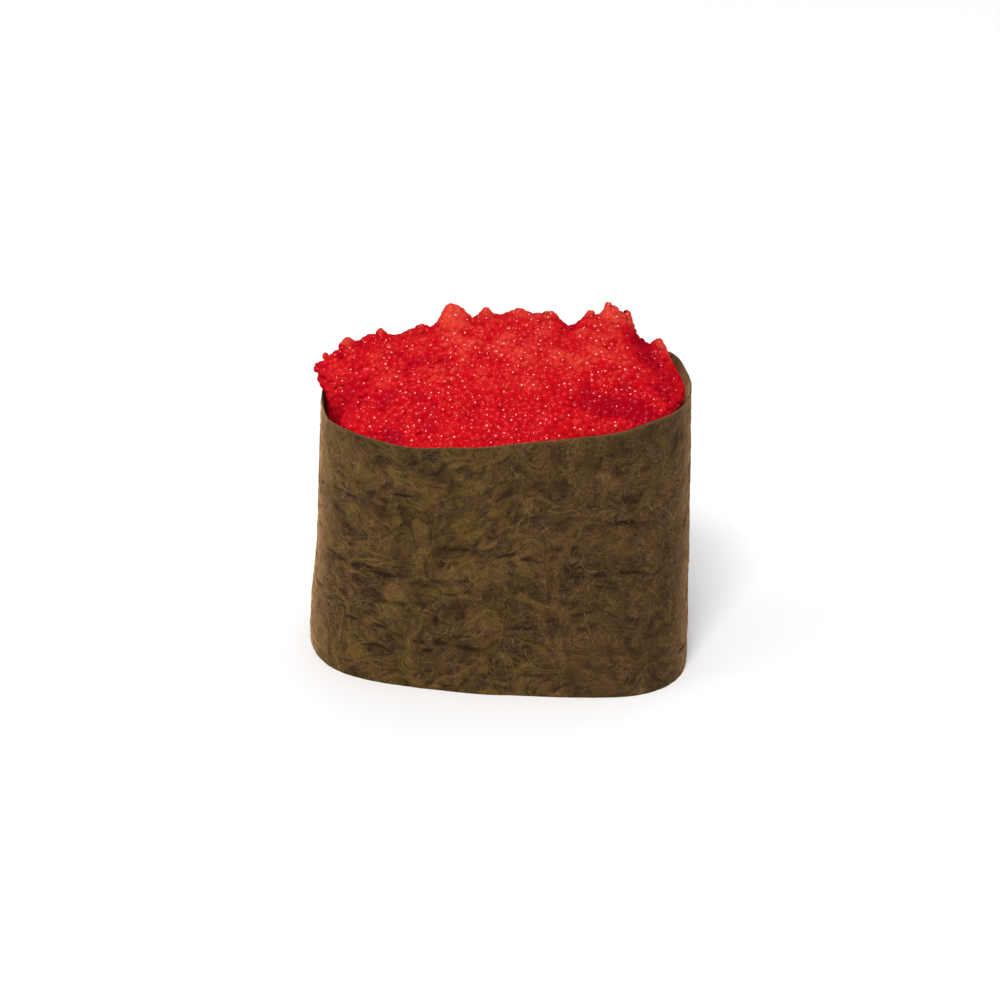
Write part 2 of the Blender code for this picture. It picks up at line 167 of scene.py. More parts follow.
# --- fineness of the finished meshes ---
WRAP_COLUMNS = 520
WRAP_ROWS = 150                              # rows of the outer face
INNER_STEP = 10                              # outer rows for each row of the inner face
HEAP_CELLS = 290
EGG_TRIES = (24000, 30000)                   # random places tried for the core's eggs and for the top ones
GRAIN_TRIES = 6000
RICE_COLUMNS = 160
FIBRE_STEPS = 6
FIBRE_SUNK = 0.03 * MM                       # a fibre's feet lie this far inside the sheet
FIBRE_ROOM = (0.25 * MM, 0.2 * MM, 0.4 * MM, 0.5 * MM)  # clear of the foot, rim, free edge and lap
BALL_COLUMNS = 8
BALL_ROWS = 6
SHARP_ANGLE = math.radians(50.0)
FRAME_TOLERANCE = 0.6 * MM                   # how far a finished face may lie from its solid's box

# --- the stage ---
FLOOR_HALF = 3.0
LIGHT_TARGET = Vector((0.0, 0.0, 0.025))
CAMERA_TARGET = Vector((0.308 * MM, 0.0, 20.508 * MM))
# lights: name, the setting for its brightness, turn and height in degrees, distance and size
LIGHTS = (
    ("key_light", "key", -12.0, 55.0, 1.1, 0.34), ("spark_light", "spark", -14.0, 70.0, 1.1, 0.60),
    ("side_light", "fill", -82.0, 24.0, 1.0, 0.9), ("edge_light", "edge", 96.0, 20.0, 1.0, 0.7),
    ("back_light", "back", 170.0, 55.0, 1.1, 0.6),
)
SPARK_COLOUR = (1.0, 0.36, 0.33)


# ---------------------------------------------------------------- settings

def length(name, text, millimetres):
    """A length property, given in millimetres."""
    return FloatProperty(name=name, description=text, default=millimetres * MM, min=0.0,
                         precision=5, unit="LENGTH")


def share(name, text, value, top=1.0):
    """A plain number property."""
    return FloatProperty(name=name, description=text, default=value, min=0.0, max=top)


def count(name, text, value):
    """A whole number property."""
    return IntProperty(name=name, description=text, default=value, min=0)


def colour(name, text, value):
    """A colour property, linear red, green and blue."""
    return FloatVectorProperty(name=name, description=text, default=value, size=3, min=0.0, max=1.0,
                               subtype="COLOR")


class SushiNoriSettings(bpy.types.PropertyGroup):
    """Sizes and colours of the seaweed strip."""
    thickness: length("Thickness", "Thickness of the sheet", 0.26)
    dents: length("Dents", "Height of the broad dents in the sheet", 0.15)
    grain: length("Grain", "Height of the pressed fibre grain", 0.080)
    creases: count("Creases", "Number of creases that run round the wrap, each in three pieces", 60)
    crease_depth: length("Crease depth", "Depth of the deepest creases", 0.18)
    crease_width: length("Crease width", "Half width of a crease", 0.32)
    fibres: count("Fibres", "Number of raised seaweed fibres", 5000)
    fibre_width: length("Fibre width", "Width of a raised fibre", 0.18)
    fibre_lift: length("Fibre lift", "How far a fibre stands proud of the sheet", 0.045)
    brown: colour("Brown", "Main colour of the sheet", (0.121, 0.059, 0.0165))
    olive: colour("Olive", "Colour of the greener patches", (0.098, 0.059, 0.0110))
    # Dusk colours random greyer patches, and is also the painted shade over the strip's right-hand stretch
    dusk: colour("Dusk", "Colour of the dark, greyer patches", (0.046, 0.024, 0.0110))
    # Shadow is painted shade in the creases, the relief's hollows and the fine dashes; it also darkens random
    # patches of the sheet
    shadow: colour("Shadow", "Colour in the creases", (0.014, 0.008, 0.004))
    straw: colour("Straw", "Colour of pale fibres, specks and the cut edge", (0.190, 0.118, 0.050))


class SushiRoeSettings(bpy.types.PropertyGroup):
    """Sizes and colours of the roe."""
    bead: length("Bead", "Diameter of one egg", 1.06)
    bead_spread: share("Bead spread", "How much the eggs differ in size, as a share", 0.09)
    spacing: length("Spacing", "Least distance between two eggs' middles", 0.80)
    sink: length("Core depth", "How far the core lies under the heap's outline", 0.34)
    jitter: length("Jitter", "How unevenly deep the eggs sit", 0.045)
    loose: count("Loose eggs", "Number of eggs that lie loose on top", 14)
    # painted light and shade: Bright is painted light on the peaks and Deep painted shade in the hollows,
    # both laid by the hollow mark
    bright: colour("Bright", "Colour of the thin, lit peaks", (0.64, 0.045, 0.028))
    red: colour("Red", "Main colour", (0.52, 0.004, 0.009))
    deep: colour("Deep", "Colour in the hollows", (0.36, 0.0008, 0.010))


class SushiRiceSettings(bpy.types.PropertyGroup):
    """Sizes and colours of the rice."""
    grain_length: length("Grain length", "Length of a cooked grain", 5.0)
    grain_width: length("Grain width", "Width of a cooked grain", 2.3)
    grains: count("Grains", "Most grains on the open underside", 300)
    white: colour("White", "Colour of a grain", (0.80, 0.775, 0.69))
    # Shade is painted shade: the core, seen between the grains, is mixed toward it
    shade: colour("Shade", "Colour of the starch between grains", (0.66, 0.62, 0.50))


class SushiStageSettings(bpy.types.PropertyGroup):
    """The floor, the lights and the camera."""
    floor: colour("Floor", "Colour of the floor", (0.90, 0.90, 0.90))
    world: share("World", "Brightness of the soft light from all round", 0.50, 10.0)
    gloss: share("World gloss", "Brightness of what the wet skins mirror", 0.01, 10.0)
    key: share("Key", "Brightness of the key light's face", 21.0, 100.0)
    spark: share("Spark", "Brightness of the light that only wet skins mirror", 19.0, 100.0)
    fill: share("Fill", "Brightness of the side light's face", 1.5, 100.0)
    edge: share("Edge", "Brightness of the light on the other edge", 1.3, 100.0)
    back: share("Back", "Brightness of the back light's face", 1.5, 100.0)
    lens: FloatProperty(name="Lens", description="Focal length in millimetres", default=119.9)
    distance: length("Distance", "Distance from the camera to the sushi's middle", 450.0)
    height_angle: FloatProperty(name="Height angle", description="How far the camera looks down",
                                default=math.radians(25.1), subtype="ANGLE")


# ---------------------------------------------------------------- form

def smooth(value):
    """Ease from 0 to 1: three times the square less twice the cube."""
    value = np.clip(value, 0.0, 1.0)
    return value * value * (3.0 - 2.0 * value)


def unit(vectors):
    """Vectors over their own length."""
    return vectors / np.linalg.norm(vectors, axis=-1, keepdims=True)


def oblong(theta, half, centre, turn, squareness, waves):
    """A rounded oblong in plan: x = a cos^(2/n), y = b sin^(2/n), where n blends from corner to
    corner, turned, plus cosine and sine waves added square to its edge."""
    cos, sin = np.cos(theta), np.sin(theta)
    left = 0.5 * (1.0 - np.tanh(CORNER_BLEND * cos))
    front = 0.5 * (1.0 - np.tanh(CORNER_BLEND * sin))
    front_square = left * squareness[0] + (1.0 - left) * squareness[1]
    back_square = left * squareness[2] + (1.0 - left) * squareness[3]
    power = 2.0 / (front * front_square + (1.0 - front) * back_square)
    x = half[0] * np.sign(cos) * np.abs(cos) ** power
    y = half[1] * np.sign(sin) * np.abs(sin) ** power
    px = centre[0] + x * math.cos(turn) - y * math.sin(turn)
    py = centre[1] + x * math.sin(turn) + y * math.cos(turn)
    swell = sum(c * np.cos(k * theta) + s * np.sin(k * theta) for k, c, s in waves) * MM
    swell = swell * (BACK_CALM + (1.0 - BACK_CALM) * front)
    nx, ny = cos / half[0], sin / half[1]
    size = np.hypot(nx, ny)
    return px + swell * nx / size, py + swell * ny / size


def rim_height(theta):
    """Height of the wrap's cut top edge: a slope to +X and to the back, and three small waves."""
    waves = sum(h * np.sin(k * theta + k) for k, h in RIM_EDGE_WAVES) * MM
    return WRAP_HEIGHT + RIM_SLOPE_X * np.cos(theta) + RIM_SLOPE_Y * (1.0 + np.sin(theta)) + waves


def wrap_face(theta, up, inward):
    """Points of the wrap at angle theta and share of height up: the foot's oblong and the rim's,
    mixed by up, then moved inward square to the face. The foot's flare fades with height."""
    def at(angle):
        foot = oblong(angle, FOOT_HALF, FOOT_CENTRE, FOOT_TURN, FOOT_SQUARENESS, FOOT_WAVES)
        rim = oblong(angle, RIM_HALF, RIM_CENTRE, RIM_TURN, RIM_SQUARENESS, RIM_WAVES)
        return foot[0] + (rim[0] - foot[0]) * up, foot[1] + (rim[1] - foot[1]) * up
    x, y = at(theta)
    xa, ya = at(theta - SLOPE_STEP)
    xb, yb = at(theta + SLOPE_STEP)
    size = np.hypot(xb - xa, yb - ya)
    nx, ny = (yb - ya) / size, (xa - xb) / size
    z = rim_height(theta) * up
    low = 0.5 * (1.0 - np.tanh((z - FLARE_HEIGHT) / FLARE_EASE))
    spread = FLARE * low * np.maximum(0.0, -np.cos(theta)) ** 2
    return np.stack([x - spread - nx * inward, y - ny * inward, z], axis=-1)


def tuck(past_start, step=LAP_STEP):
    """How far inside the outer face the sheet lies, from its tucked-in start onward: one step under
    the lap, eased out to nothing after it."""
    lap = LAP_ANGLE + FREE_EDGE_TOP - FREE_EDGE_FOOT
    return step * (1.0 - smooth((past_start - lap) / LAP_EASE))


def pressed(theta, z):
    """How thin the sheet is pressed toward its cut rim: eased from 1 down to a share."""
    return PRESSED + (1.0 - PRESSED) * smooth((rim_height(theta) - z) / PRESS_REACH)


def inner_limit(theta):
    """Inset of the sheet's innermost face, eased in just before the tucked-in start."""
    past = np.mod(theta - STRIP_START, TURN)
    ease = LAP_STEP * smooth((past - TURN + START_ROOM[0]) / START_ROOM[1])
    return np.maximum(tuck(past), ease) + CAD_SHEET


def inside_wrap(theta, height, inset):
    """Points inside the wrap at a height, this far in from the sheet's innermost face."""
    return wrap_face(theta, height / rim_height(theta), inner_limit(theta) + inset)


def near(theta, place, spread):
    """A bell-shaped hump round one angle, in degrees."""
    off = (np.degrees(theta) - place + 180.0) % 360.0 - 180.0
    return np.exp(-(off / spread) ** 2)


def heap_height(x, y):
    """Height of the heap's top: a ridge along X that falls with the square of the way to the sides,
    two soft steps, bell-shaped lumps and hollows, and sine ripples."""
    off = (y - CREST_Y) / FALL_REACH
    top = CREST - np.where(off < 0.0, FRONT_FALL, BACK_FALL) * off * off
    soft = STEP_SOFTENING * np.maximum(0.0, STEP_CRISP_Y - y)
    top = top - LEFT_FALL[0] * 0.5 * (1.0 + np.tanh((LEFT_FALL[1] - x) / (LEFT_FALL[2] + soft)))
    top = top - RIGHT_FALL[0] * 0.5 * (1.0 + np.tanh((x - RIGHT_FALL[1]) / (RIGHT_FALL[2] + soft)))
    for lx, ly, sx, sy, height in LUMPS:
        reach = ((x / MM - lx) / sx) ** 2 + ((y / MM - ly) / sy) ** 2
        top = top + height * MM * np.exp(-reach)
    for wave, height, turn, shift in RIPPLES:
        along = x * math.cos(math.radians(turn)) + y * math.sin(math.radians(turn))
        top = top + height * MM * np.sin(TURN * along / (wave * MM) + shift)
    return top


def heap_edge(theta):
    """Height where the heap meets the wrap: a drop below the rim, deeper at two places, and above
    the rim under the clump that hangs out."""
    drop = EDGE_DROP
    for size, place, spread in (LEFT_DROP, BACK_DROP):
        drop = drop + size * near(theta, place, spread)
    clump = near(theta, *TIP[1:])
    return rim_height(theta) - drop * (1.0 - clump) + TIP_CLEAR * clump


def heap_at(across, along):
    """Points of the heap over a disc of radius 1: the disc is stretched to the wrap's inside, and the
    height rises from the edge by (1 - share^6)^(1/2.2) of the way to the heap's top."""
    theta = np.arctan2(along, across)
    out = np.minimum(np.hypot(across, along), 1.0)
    edge_z = heap_edge(theta)
    pull = sum(size * near(theta, place, spread) for size, place, spread in (LEFT_PULL, RIGHT_PULL))
    edge = inside_wrap(theta, edge_z, HEAP_CLEAR + pull)
    x = MIDDLE[0] + (edge[..., 0] - MIDDLE[0]) * out
    y = MIDDLE[1] + (edge[..., 1] - MIDDLE[1]) * out
    rise = (1.0 - out ** DOME_EDGE) ** (1.0 / DOME_SHOULDER)
    z = edge_z + np.maximum(heap_height(x, y) - edge_z, LEAST_RISE) * rise
    over = edge_z + (TIP_TOP - edge_z) * rise - rim_height(theta)
    above = TIP_KNOB[0] * smooth((over - TIP_RISE[0]) / TIP_RISE[1])
    above = above + (1.0 - TIP_KNOB[0]) * smooth((over - TIP_KNOB[1]) / TIP_KNOB[2])
    above = above * smooth((out - TIP_SHARE[0]) / TIP_SHARE[1])
    return np.stack([x - TIP[0] * near(theta, *TIP[1:]) * above, y, z], axis=-1)


def heap_square(across, along, step=STRAIGHT_STEP):
    """Unit vectors square to the heap: the cross product of two steps over the disc."""
    out = np.hypot(across, along)
    pull = np.minimum(1.0, (EDGE_SHARE - step) / np.maximum(out, 1e-9))
    a, b = across * pull, along * pull
    right, back = heap_at(a + step, b) - heap_at(a - step, b), heap_at(a, b + step) - heap_at(a, b - step)
    return unit(np.cross(right, back))


def soft_square(across, along, own):
    """The evened-out vectors, given way to each point's own where a fold turns them off the straight
    ones."""
    straight, soft = heap_square(across, along), heap_square(across, along, SOFT_STEP)
    share = smooth((np.einsum("ij,ij->i", straight, soft) - 0.35) / 0.5)[:, None]
    return unit(soft * share + own * (1.0 - share))


def hollowness(points):
    """How much a place lies in a hollow: mean height of the heap on three rings round it, less its own
    height, with soft patches added, from 0 on a peak through 0.5 to 1 in a hollow. Low down on the
    heap the peaks count for less, and high up every place leans a little toward a peak. The roe's
    colour paints shade in the hollows and light on the peaks from it; the soft patches are the roe's
    own uneven tone."""
    x, y = points[:, 0], points[:, 1]
    around = 0.0
    for reach in RING_REACHES:
        for angle in np.arange(RING_PLACES) * TURN / RING_PLACES:
            around = around + heap_height(x + reach * math.cos(angle), y + reach * math.sin(angle))
    around = around / (RING_PLACES * len(RING_REACHES))
    drift = 0.30 * np.maximum(0.0, patchy(x, y, 4.6 * MM, 16)) + 0.08 * patchy(x, y, 2.1 * MM, 19)
    level = drift + (around - heap_height(x, y)) / (2.3 * MM)
    high = smooth((points[:, 2] - 38.0 * MM) / (5.5 * MM))
    level = np.where(level < 0.0, level * (0.20 + 0.50 * high), level) - 0.09 * high
    return np.clip(0.53 + level, 0.0, 1.0)


# ---------------------------------------------------------------- chance and nearness

def lattice(ix, iy, seed):
    """A value from -1 to 1 for each whole-number place, by mixing the bits of its numbers."""
    mix = (ix.astype(np.int64) * 374761393 + iy.astype(np.int64) * 668265263 + seed * 974634777)
    mix = mix & 0xFFFFFFFF
    mix = ((mix ^ (mix >> 13)) * 1274126177) & 0xFFFFFFFF
    return ((mix ^ (mix >> 16)) & 0xFFFF) / 32767.5 - 1.0


def patchy(u, v, size, seed):
    """Soft patches: lattice values a size apart, mixed by the smooth ease in both directions."""
    u, v = u / size, v / size
    iu, iv = np.floor(u), np.floor(v)
    fu, fv = smooth(u - iu), smooth(v - iv)
    low = lattice(iu, iv, seed) * (1.0 - fu) + lattice(iu + 1, iv, seed) * fu
    high = lattice(iu, iv + 1, seed) * (1.0 - fu) + lattice(iu + 1, iv + 1, seed) * fu
    return low * (1.0 - fv) + high * fv


def close_pairs(first, second, reach):
    """Pairs of points of two sets no further apart than reach. Space is cut into cubes of that side,
    and each first point is compared with the second points in its own cube and the 26 round it."""
    low = np.minimum(first.min(axis=0), second.min(axis=0)) - 2.0 * reach
    cells = [np.floor((points - low) / reach).astype(np.int64) for points in (first, second)]
    size = np.maximum(cells[0].max(axis=0), cells[1].max(axis=0)) + 2
    weight = np.array([size[1] * size[2], size[2], 1])
    keys = cells[1] @ weight
    order = np.argsort(keys, kind="stable")
    keys = keys[order]
    found = []
    for shift in np.ndindex(3, 3, 3):
        wanted = (cells[0] + np.array(shift) - 1) @ weight
        start = np.searchsorted(keys, wanted, "left")
        many = np.searchsorted(keys, wanted, "right") - start
        i = np.repeat(np.arange(len(first)), many)
        rank = np.arange(many.sum()) - np.repeat(np.cumsum(many) - many, many)
        j = order[np.repeat(start, many) + rank]
        apart = np.linalg.norm(first[i] - second[j], axis=1)
        keep = apart < reach
        found.append((i[keep], j[keep], apart[keep]))
    return [np.concatenate(part) for part in zip(*found)]


def thin_out(points, gap, chance):
    """Which points to keep so that none is nearer another than gap: each has a random rank, and in
    every round the points that outrank all their neighbours stay and push those neighbours out."""
    i, j, _ = close_pairs(points, points, gap)
    other = i != j
    i, j = i[other], j[other]
    rank = chance.permutation(len(points))
    kept = np.zeros(len(points), bool)
    open_ = np.ones(len(points), bool)
    while open_.any():
        live = open_[i] & open_[j]
        i, j = i[live], j[live]
        best = np.full(len(points), len(points))
        np.minimum.at(best, i, rank[j])
        won = open_ & (rank < best)
        kept |= won
        open_ &= ~won
        open_[j[won[i]]] = False
    return np.flatnonzero(kept)


def turned(chance, many):
    """Random rotation matrices from random unit quaternions."""
    w, x, y, z = (lambda q: q / np.linalg.norm(q, axis=0))(chance.normal(size=(4, many)))
    return np.stack([
        np.stack([1 - 2 * (y * y + z * z), 2 * (x * y - z * w), 2 * (x * z + y * w)], axis=-1),
        np.stack([2 * (x * y + z * w), 1 - 2 * (x * x + z * z), 2 * (y * z - x * w)], axis=-1),
        np.stack([2 * (x * z - y * w), 2 * (y * z + x * w), 1 - 2 * (x * x + y * y)], axis=-1),
    ], axis=-2)


# ---------------------------------------------------------------- meshes

def grid_faces(rows, columns, first=0):
    """Four-sided faces of a grid of points stored row by row, rows and columns counted in points."""
    corner = first + np.arange(rows - 1)[:, None] * columns + np.arange(columns - 1)[None, :]
    return np.stack([corner, corner + 1, corner + columns + 1, corner + columns], axis=-1).reshape(-1, 4)


def ring_faces(rings, columns):
    """Faces of a body of closed rings with a pole before the first ring and one after the last: point
    0 is the low pole, then the rings, then the high pole."""
    turn = np.arange(columns)
    after = (turn + 1) % columns
    base = 1 + np.arange(rings - 1)[:, None] * columns
    sides = np.stack([base + turn, base + after, base + after + columns, base + turn + columns], axis=-1)
    high = 1 + rings * columns
    foot = np.stack([np.zeros_like(turn), 1 + after, 1 + turn], axis=-1)
    head = np.stack([high - columns + turn, high - columns + after, np.full_like(turn, high)], axis=-1)
    return sides.reshape(-1, 4), np.concatenate([foot, head])


def repeated(faces, many, points_each):
    """The same faces for each of many bodies stored one after another."""
    return [(part[None] + np.arange(many)[:, None, None] * points_each).reshape(-1, part.shape[1])
            for part in faces]


def six_volumes(points, faces):
    """Six times the volume a closed mesh holds: the sum of a . (b x c) over its triangles."""
    total = 0.0
    for part in faces:
        for k in range(1, part.shape[1] - 1):
            a, b, c = points[part[:, 0]], points[part[:, k]], points[part[:, k + 1]]
            total += float(np.einsum("ij,ij->", a, np.cross(b, c)))
    return total


def make_piece(name, points, faces, material, marks=None, sharp=False):
    """Make a closed mesh object from an array of points and arrays of faces, all faces turned to
    point outward, with named values at its points, and let it ride on the frame."""
    if six_volumes(points, faces) < 0.0:
        faces = [part[:, ::-1] for part in faces]
    mesh = bpy.data.meshes.new(name)
    corners = np.concatenate([part.ravel() for part in faces])
    sides = np.concatenate([np.full(len(part), part.shape[1]) for part in faces])
    mesh.vertices.add(len(points))
    mesh.vertices.foreach_set("co", np.ascontiguousarray(points, np.float32).ravel())
    mesh.loops.add(len(corners))
    mesh.loops.foreach_set("vertex_index", corners.astype(np.int32))
    mesh.polygons.add(len(sides))
    mesh.polygons.foreach_set("loop_start", (np.cumsum(sides) - sides).astype(np.int32))
    mesh.update(calc_edges=True)
    if mesh.validate():
        raise RuntimeError(f"{name} has faulty faces")
    for mark, values in (marks or {}).items():
        kind, field = ("FLOAT", "value") if values.ndim == 1 else ("FLOAT_VECTOR", "vector")
        attribute = mesh.attributes.new(mark, kind, "POINT")
        attribute.data.foreach_set(field, np.ascontiguousarray(values, np.float32).ravel())
    mesh.materials.append(material)
    mesh.shade_smooth()
    if sharp:
        mesh.set_sharp_from_angle(angle=SHARP_ANGLE)
    made = bpy.data.objects.new(name, mesh)
    bpy.context.scene.collection.objects.link(made)
    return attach(made, "root")


def check_frame_fit(node, points, top_only=False):
    """Stop if a finished face, or only its top, doesn't lie on its solid's box."""
    low, high = (np.array(corner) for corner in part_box(node))
    over, under = np.abs(points.max(axis=0) - high), np.abs(points.min(axis=0) - low)
    off = over[2] if top_only else max(over.max(), under.max())
    if off > FRAME_TOLERANCE:
        raise RuntimeError(f"the finished {node} lies {off / MM:.2f} mm off its solid")


# ---------------------------------------------------------------- the sheet's surface

STRIP_ANGLES = np.linspace(STRIP_START - 0.2, STRIP_END + 0.2, 6001)
STRIP_STEPS = np.diff(wrap_face(STRIP_ANGLES, 0.5, 0.0)[:, :2], axis=0)
STRIP_RUNS = np.concatenate([[0.0], np.cumsum(np.hypot(*STRIP_STEPS.T))])


def strip_run(theta):
    """Length along the strip from its start to an angle, measured at mid height in short steps."""
    return np.interp(theta, STRIP_ANGLES, STRIP_RUNS)


def strip_angle(run):
    """The angle at a length along the strip, from the same steps."""
    return np.interp(run, STRIP_RUNS, STRIP_ANGLES)


def sheet_relief(run, z, settings):
    """Height of the sheet's relief, how deep in a crease each place is, and how far below the tufts.
    Broad dents and drifting tufts of two sizes are added up. A crease is three bell-shaped troughs in
    a row, each across a bowed line, fading at both ends, with a low lip above it."""
    drift_run = run + 1.2 * MM * patchy(run, z, 4.0 * MM, 17)
    drift_z = z + 1.2 * MM * patchy(run, z, 4.0 * MM, 18)
    tufts = 0.55 * patchy(drift_run, drift_z * 1.5, 2.2 * MM, 12)
    tufts = tufts + 0.45 * patchy(drift_run, drift_z, 1.0 * MM, 13)
    relief = settings.dents * 0.5 * patchy(run, z, 8.0 * MM, 11) + settings.grain * tufts
    chance = np.random.default_rng(21)
    many = settings.creases
    place = chance.uniform(0.0, strip_run(STRIP_END), many)
    height = WRAP_HEIGHT * chance.beta(2.6, 4.6, many)
    slope = chance.normal(0.0, 0.10, many)
    reaches = (chance.uniform(0.5, 2.1, (many, 3)) * MM).ravel()
    offsets = (np.array([-1.0, 0.0, 1.0]) * chance.uniform(2.4, 5.0, (many, 3)) * MM).ravel()
    places = np.repeat(place, 3) + offsets
    heights = np.repeat(height, 3) + np.repeat(slope, 3) * offsets + chance.normal(0.0, 0.35 * MM, many * 3)
    slopes = np.repeat(slope, 3) + chance.normal(0.0, 0.10, many * 3)
    bows = chance.normal(0.0, 22.0, many * 3)
    widths = settings.crease_width * chance.uniform(0.6, 1.6, many * 3)
    depths = settings.crease_depth * chance.uniform(0.3, 1.0, many * 3) ** 1.5
    crease = np.zeros_like(relief)
    for place, height, reach, slope, bow, width, depth in zip(
            places, heights, reaches, slopes, bows, widths, depths):
        along = run - place
        across = z - height - slope * along - bow * along * along
        fade = np.exp(-(along / reach) ** 4)
        trough = np.exp(-(across / width) ** 2) * fade
        lip = np.exp(-((across - 1.8 * width) / width) ** 2) * fade
        relief = relief + depth * (0.35 * lip - trough)
        crease = np.maximum(crease, trough * (0.4 + 0.6 * depth / settings.crease_depth))
    return np.minimum(relief, RELIEF_MOST), crease, 0.5 - 0.5 * tufts


def sheet_point(run, z, settings):
    """A point on the sheet's outer relief at a length along the strip and a height, and the unit
    vector square to the sheet there."""
    theta = strip_angle(run)
    up = z / rim_height(theta)
    thin = pressed(theta, z)
    inset = tuck(theta - STRIP_START, LAP_SHOWN * thin)
    relief = sheet_relief(run, z, settings)[0] * thin
    face = wrap_face(theta, up, inset - relief)
    return face, unit(wrap_face(theta, up, inset - relief - 0.1 * MM) - face)


# ---------------------------------------------------------------- materials

SEAWEED_COLOURS = ("Brown", "Olive", "Dusk", "Shadow", "Straw")
ROE_COLOURS = ("Bright", "Red", "Deep")
RICE_COLOURS = ("White", "Shade")


def add(tree, kind, inputs=None, **settings):
    """Add a node, set its properties, and give each input a value or a link."""
    made = tree.nodes.new(kind)
    for name, value in settings.items():
        setattr(made, name, value)
    for key, value in (inputs or {}).items():
        if isinstance(value, bpy.types.NodeSocket):
            tree.links.new(value, made.inputs[key])
        else:
            made.inputs[key].default_value = value
    return made


def paint(rgb):
    """A colour with full alpha."""
    return (rgb[0], rgb[1], rgb[2], 1.0)


def reckon(tree, operation, first, second=0.0, clamp=False):
    """One step of arithmetic."""
    made = add(tree, "ShaderNodeMath", {0: first, 1: second}, operation=operation, use_clamp=clamp)
    return made.outputs[0]


def times(tree, first, second):
    """One value times another."""
    return reckon(tree, "MULTIPLY", first, second)


def mixed(tree, amount, low, high):
    """The colour between two colours."""
    return add(tree, "ShaderNodeMix", {0: amount, 6: low, 7: high}, data_type="RGBA").outputs[2]


def toward(tree, tone, other, mask, most):
    """A colour taken toward another by a mask times the most it may be."""
    return mixed(tree, times(tree, mask, most), tone, other)


def ranged(tree, value, low, high):
    """0 at low, 1 at high, eased between."""
    made = add(tree, "ShaderNodeMapRange", {"Value": value, "From Min": low, "From Max": high},
               interpolation_type="SMOOTHSTEP")
    return made.outputs["Result"]


def cloud(tree, place, scale, detail=2.0, rough=0.5, warp=0.0):
    """Soft noise from 0 to 1 over a place."""
    made = add(tree, "ShaderNodeTexNoise",
               {"Vector": place, "Scale": scale, "Detail": detail, "Roughness": rough, "Distortion": warp})
    return made.outputs["Fac"]


def new_group(name, inputs, outputs):
    """A shader node group whose inputs and outputs are given as label and kind of socket."""
    group = bpy.data.node_groups.new(name, "ShaderNodeTree")
    for way, sockets in (("INPUT", inputs), ("OUTPUT", outputs)):
        for label, kind in sockets.items():
            group.interface.new_socket(name=label, in_out=way, socket_type=f"NodeSocket{kind}")
    return group, group.nodes.new("NodeGroupInput").outputs, group.nodes.new("NodeGroupOutput").inputs


def build_seaweed(name):
    """Seaweed colour and height. Large patches run from brown to olive and to a dark grey, fine dark
    dashes of painted shade lie level in small dents, the right-hand stretch is darkened with painted
    shade, and thin pale hairs follow the lines where a noise crosses its middle."""
    inputs = {"Place": "Vector", **dict.fromkeys(SEAWEED_COLOURS, "Color")}
    inputs.update(Hairs="Float", Dashes="Float")
    group, given, out = new_group(name, inputs, {"Color": "Color", "Height": "Float"})
    place = given["Place"]
    level = add(group, "ShaderNodeMapping", {"Vector": place, "Scale": (1.0, 1.0, 2.6)}).outputs[0]
    # the tufts lean one way or the other from place to place
    rising, falling = (add(group, "ShaderNodeMapping", {"Vector": place, "Scale": (1.0, 1.0, 0.5),
                           "Rotation": (0.0, math.radians(turn), 0.0)}, vector_type="TEXTURE").outputs[0]
                       for turn in (-38.0, 24.0))
    lean = ranged(group, cloud(group, place, 95.0, 1.0, 0.4, 0.6), 0.44, 0.56)
    flat = add(group, "ShaderNodeMix", {0: lean, 4: rising, 5: falling}, data_type="VECTOR").outputs[1]
    olive = ranged(group, cloud(group, place, 210.0, 3.0, 0.6, 1.0), 0.36, 0.62)
    dusk = ranged(group, cloud(group, flat, 200.0, 4.0, 0.6, 1.4), 0.47, 0.66)
    tone = mixed(group, olive, given["Brown"], given["Olive"])
    tone = toward(group, tone, given["Dusk"], dusk, 0.8)
    broad = ranged(group, cloud(group, flat, 120.0, 2.0, 0.5, 1.0), 0.56, 0.36)
    tone = toward(group, tone, given["Shadow"], broad, 0.50)
    # painted shade: the strip's right-hand stretch is darkened toward the dusk colour
    across = add(group, "ShaderNodeSeparateXYZ", {"Vector": place}).outputs["X"]
    tone = toward(group, tone, given["Dusk"], ranged(group, across, -0.004, 0.018), 0.46)
    tuft = cloud(group, flat, 420.0, 4.0, 0.65, 1.2)
    tone = toward(group, tone, given["Shadow"], ranged(group, tuft, 0.52, 0.34), 0.72)
    speckle = cloud(group, place, 2600.0, 2.0, 0.7)
    clump = ranged(group, cloud(group, place, 330.0, 2.0, 0.5, 0.8), 0.40, 0.66)
    light = times(group, ranged(group, speckle, 0.40, 0.78), ranged(group, tuft, 0.36, 0.66))
    light = times(group, light, reckon(group, "ADD", times(group, clump, 0.75), 0.2))
    tone = toward(group, tone, given["Straw"], light, 0.85)
    # painted shade: fine dark dashes, laid in the dents that the same dashes press into the height
    dash = ranged(group, cloud(group, level, 240.0, 3.0, 0.6, 0.7), 0.61, 0.70)
    tone = toward(group, tone, given["Shadow"], dash, given["Dashes"])
    hairs = 0.0
    for scale, width, cut in ((430.0, 0.014, 0.44), (760.0, 0.020, 0.47)):
        wander = cloud(group, place, scale, 1.0, 0.4, 0.8)
        off = reckon(group, "ABSOLUTE", reckon(group, "SUBTRACT", wander, 0.5))
        line = reckon(group, "SUBTRACT", 1.0, ranged(group, off, width * 0.4, width))
        torn = ranged(group, cloud(group, place, scale * 0.9, 1.0, 0.5), cut, cut + 0.1)
        hairs = reckon(group, "MAXIMUM", hairs, times(group, line, torn))
    group.links.new(toward(group, tone, given["Straw"], hairs, given["Hairs"]), out["Color"])
    height = reckon(group, "ADD", times(group, hairs, 0.5), speckle)
    group.links.new(reckon(group, "SUBTRACT", height, times(group, dash, 0.7)), out["Height"])
    return group


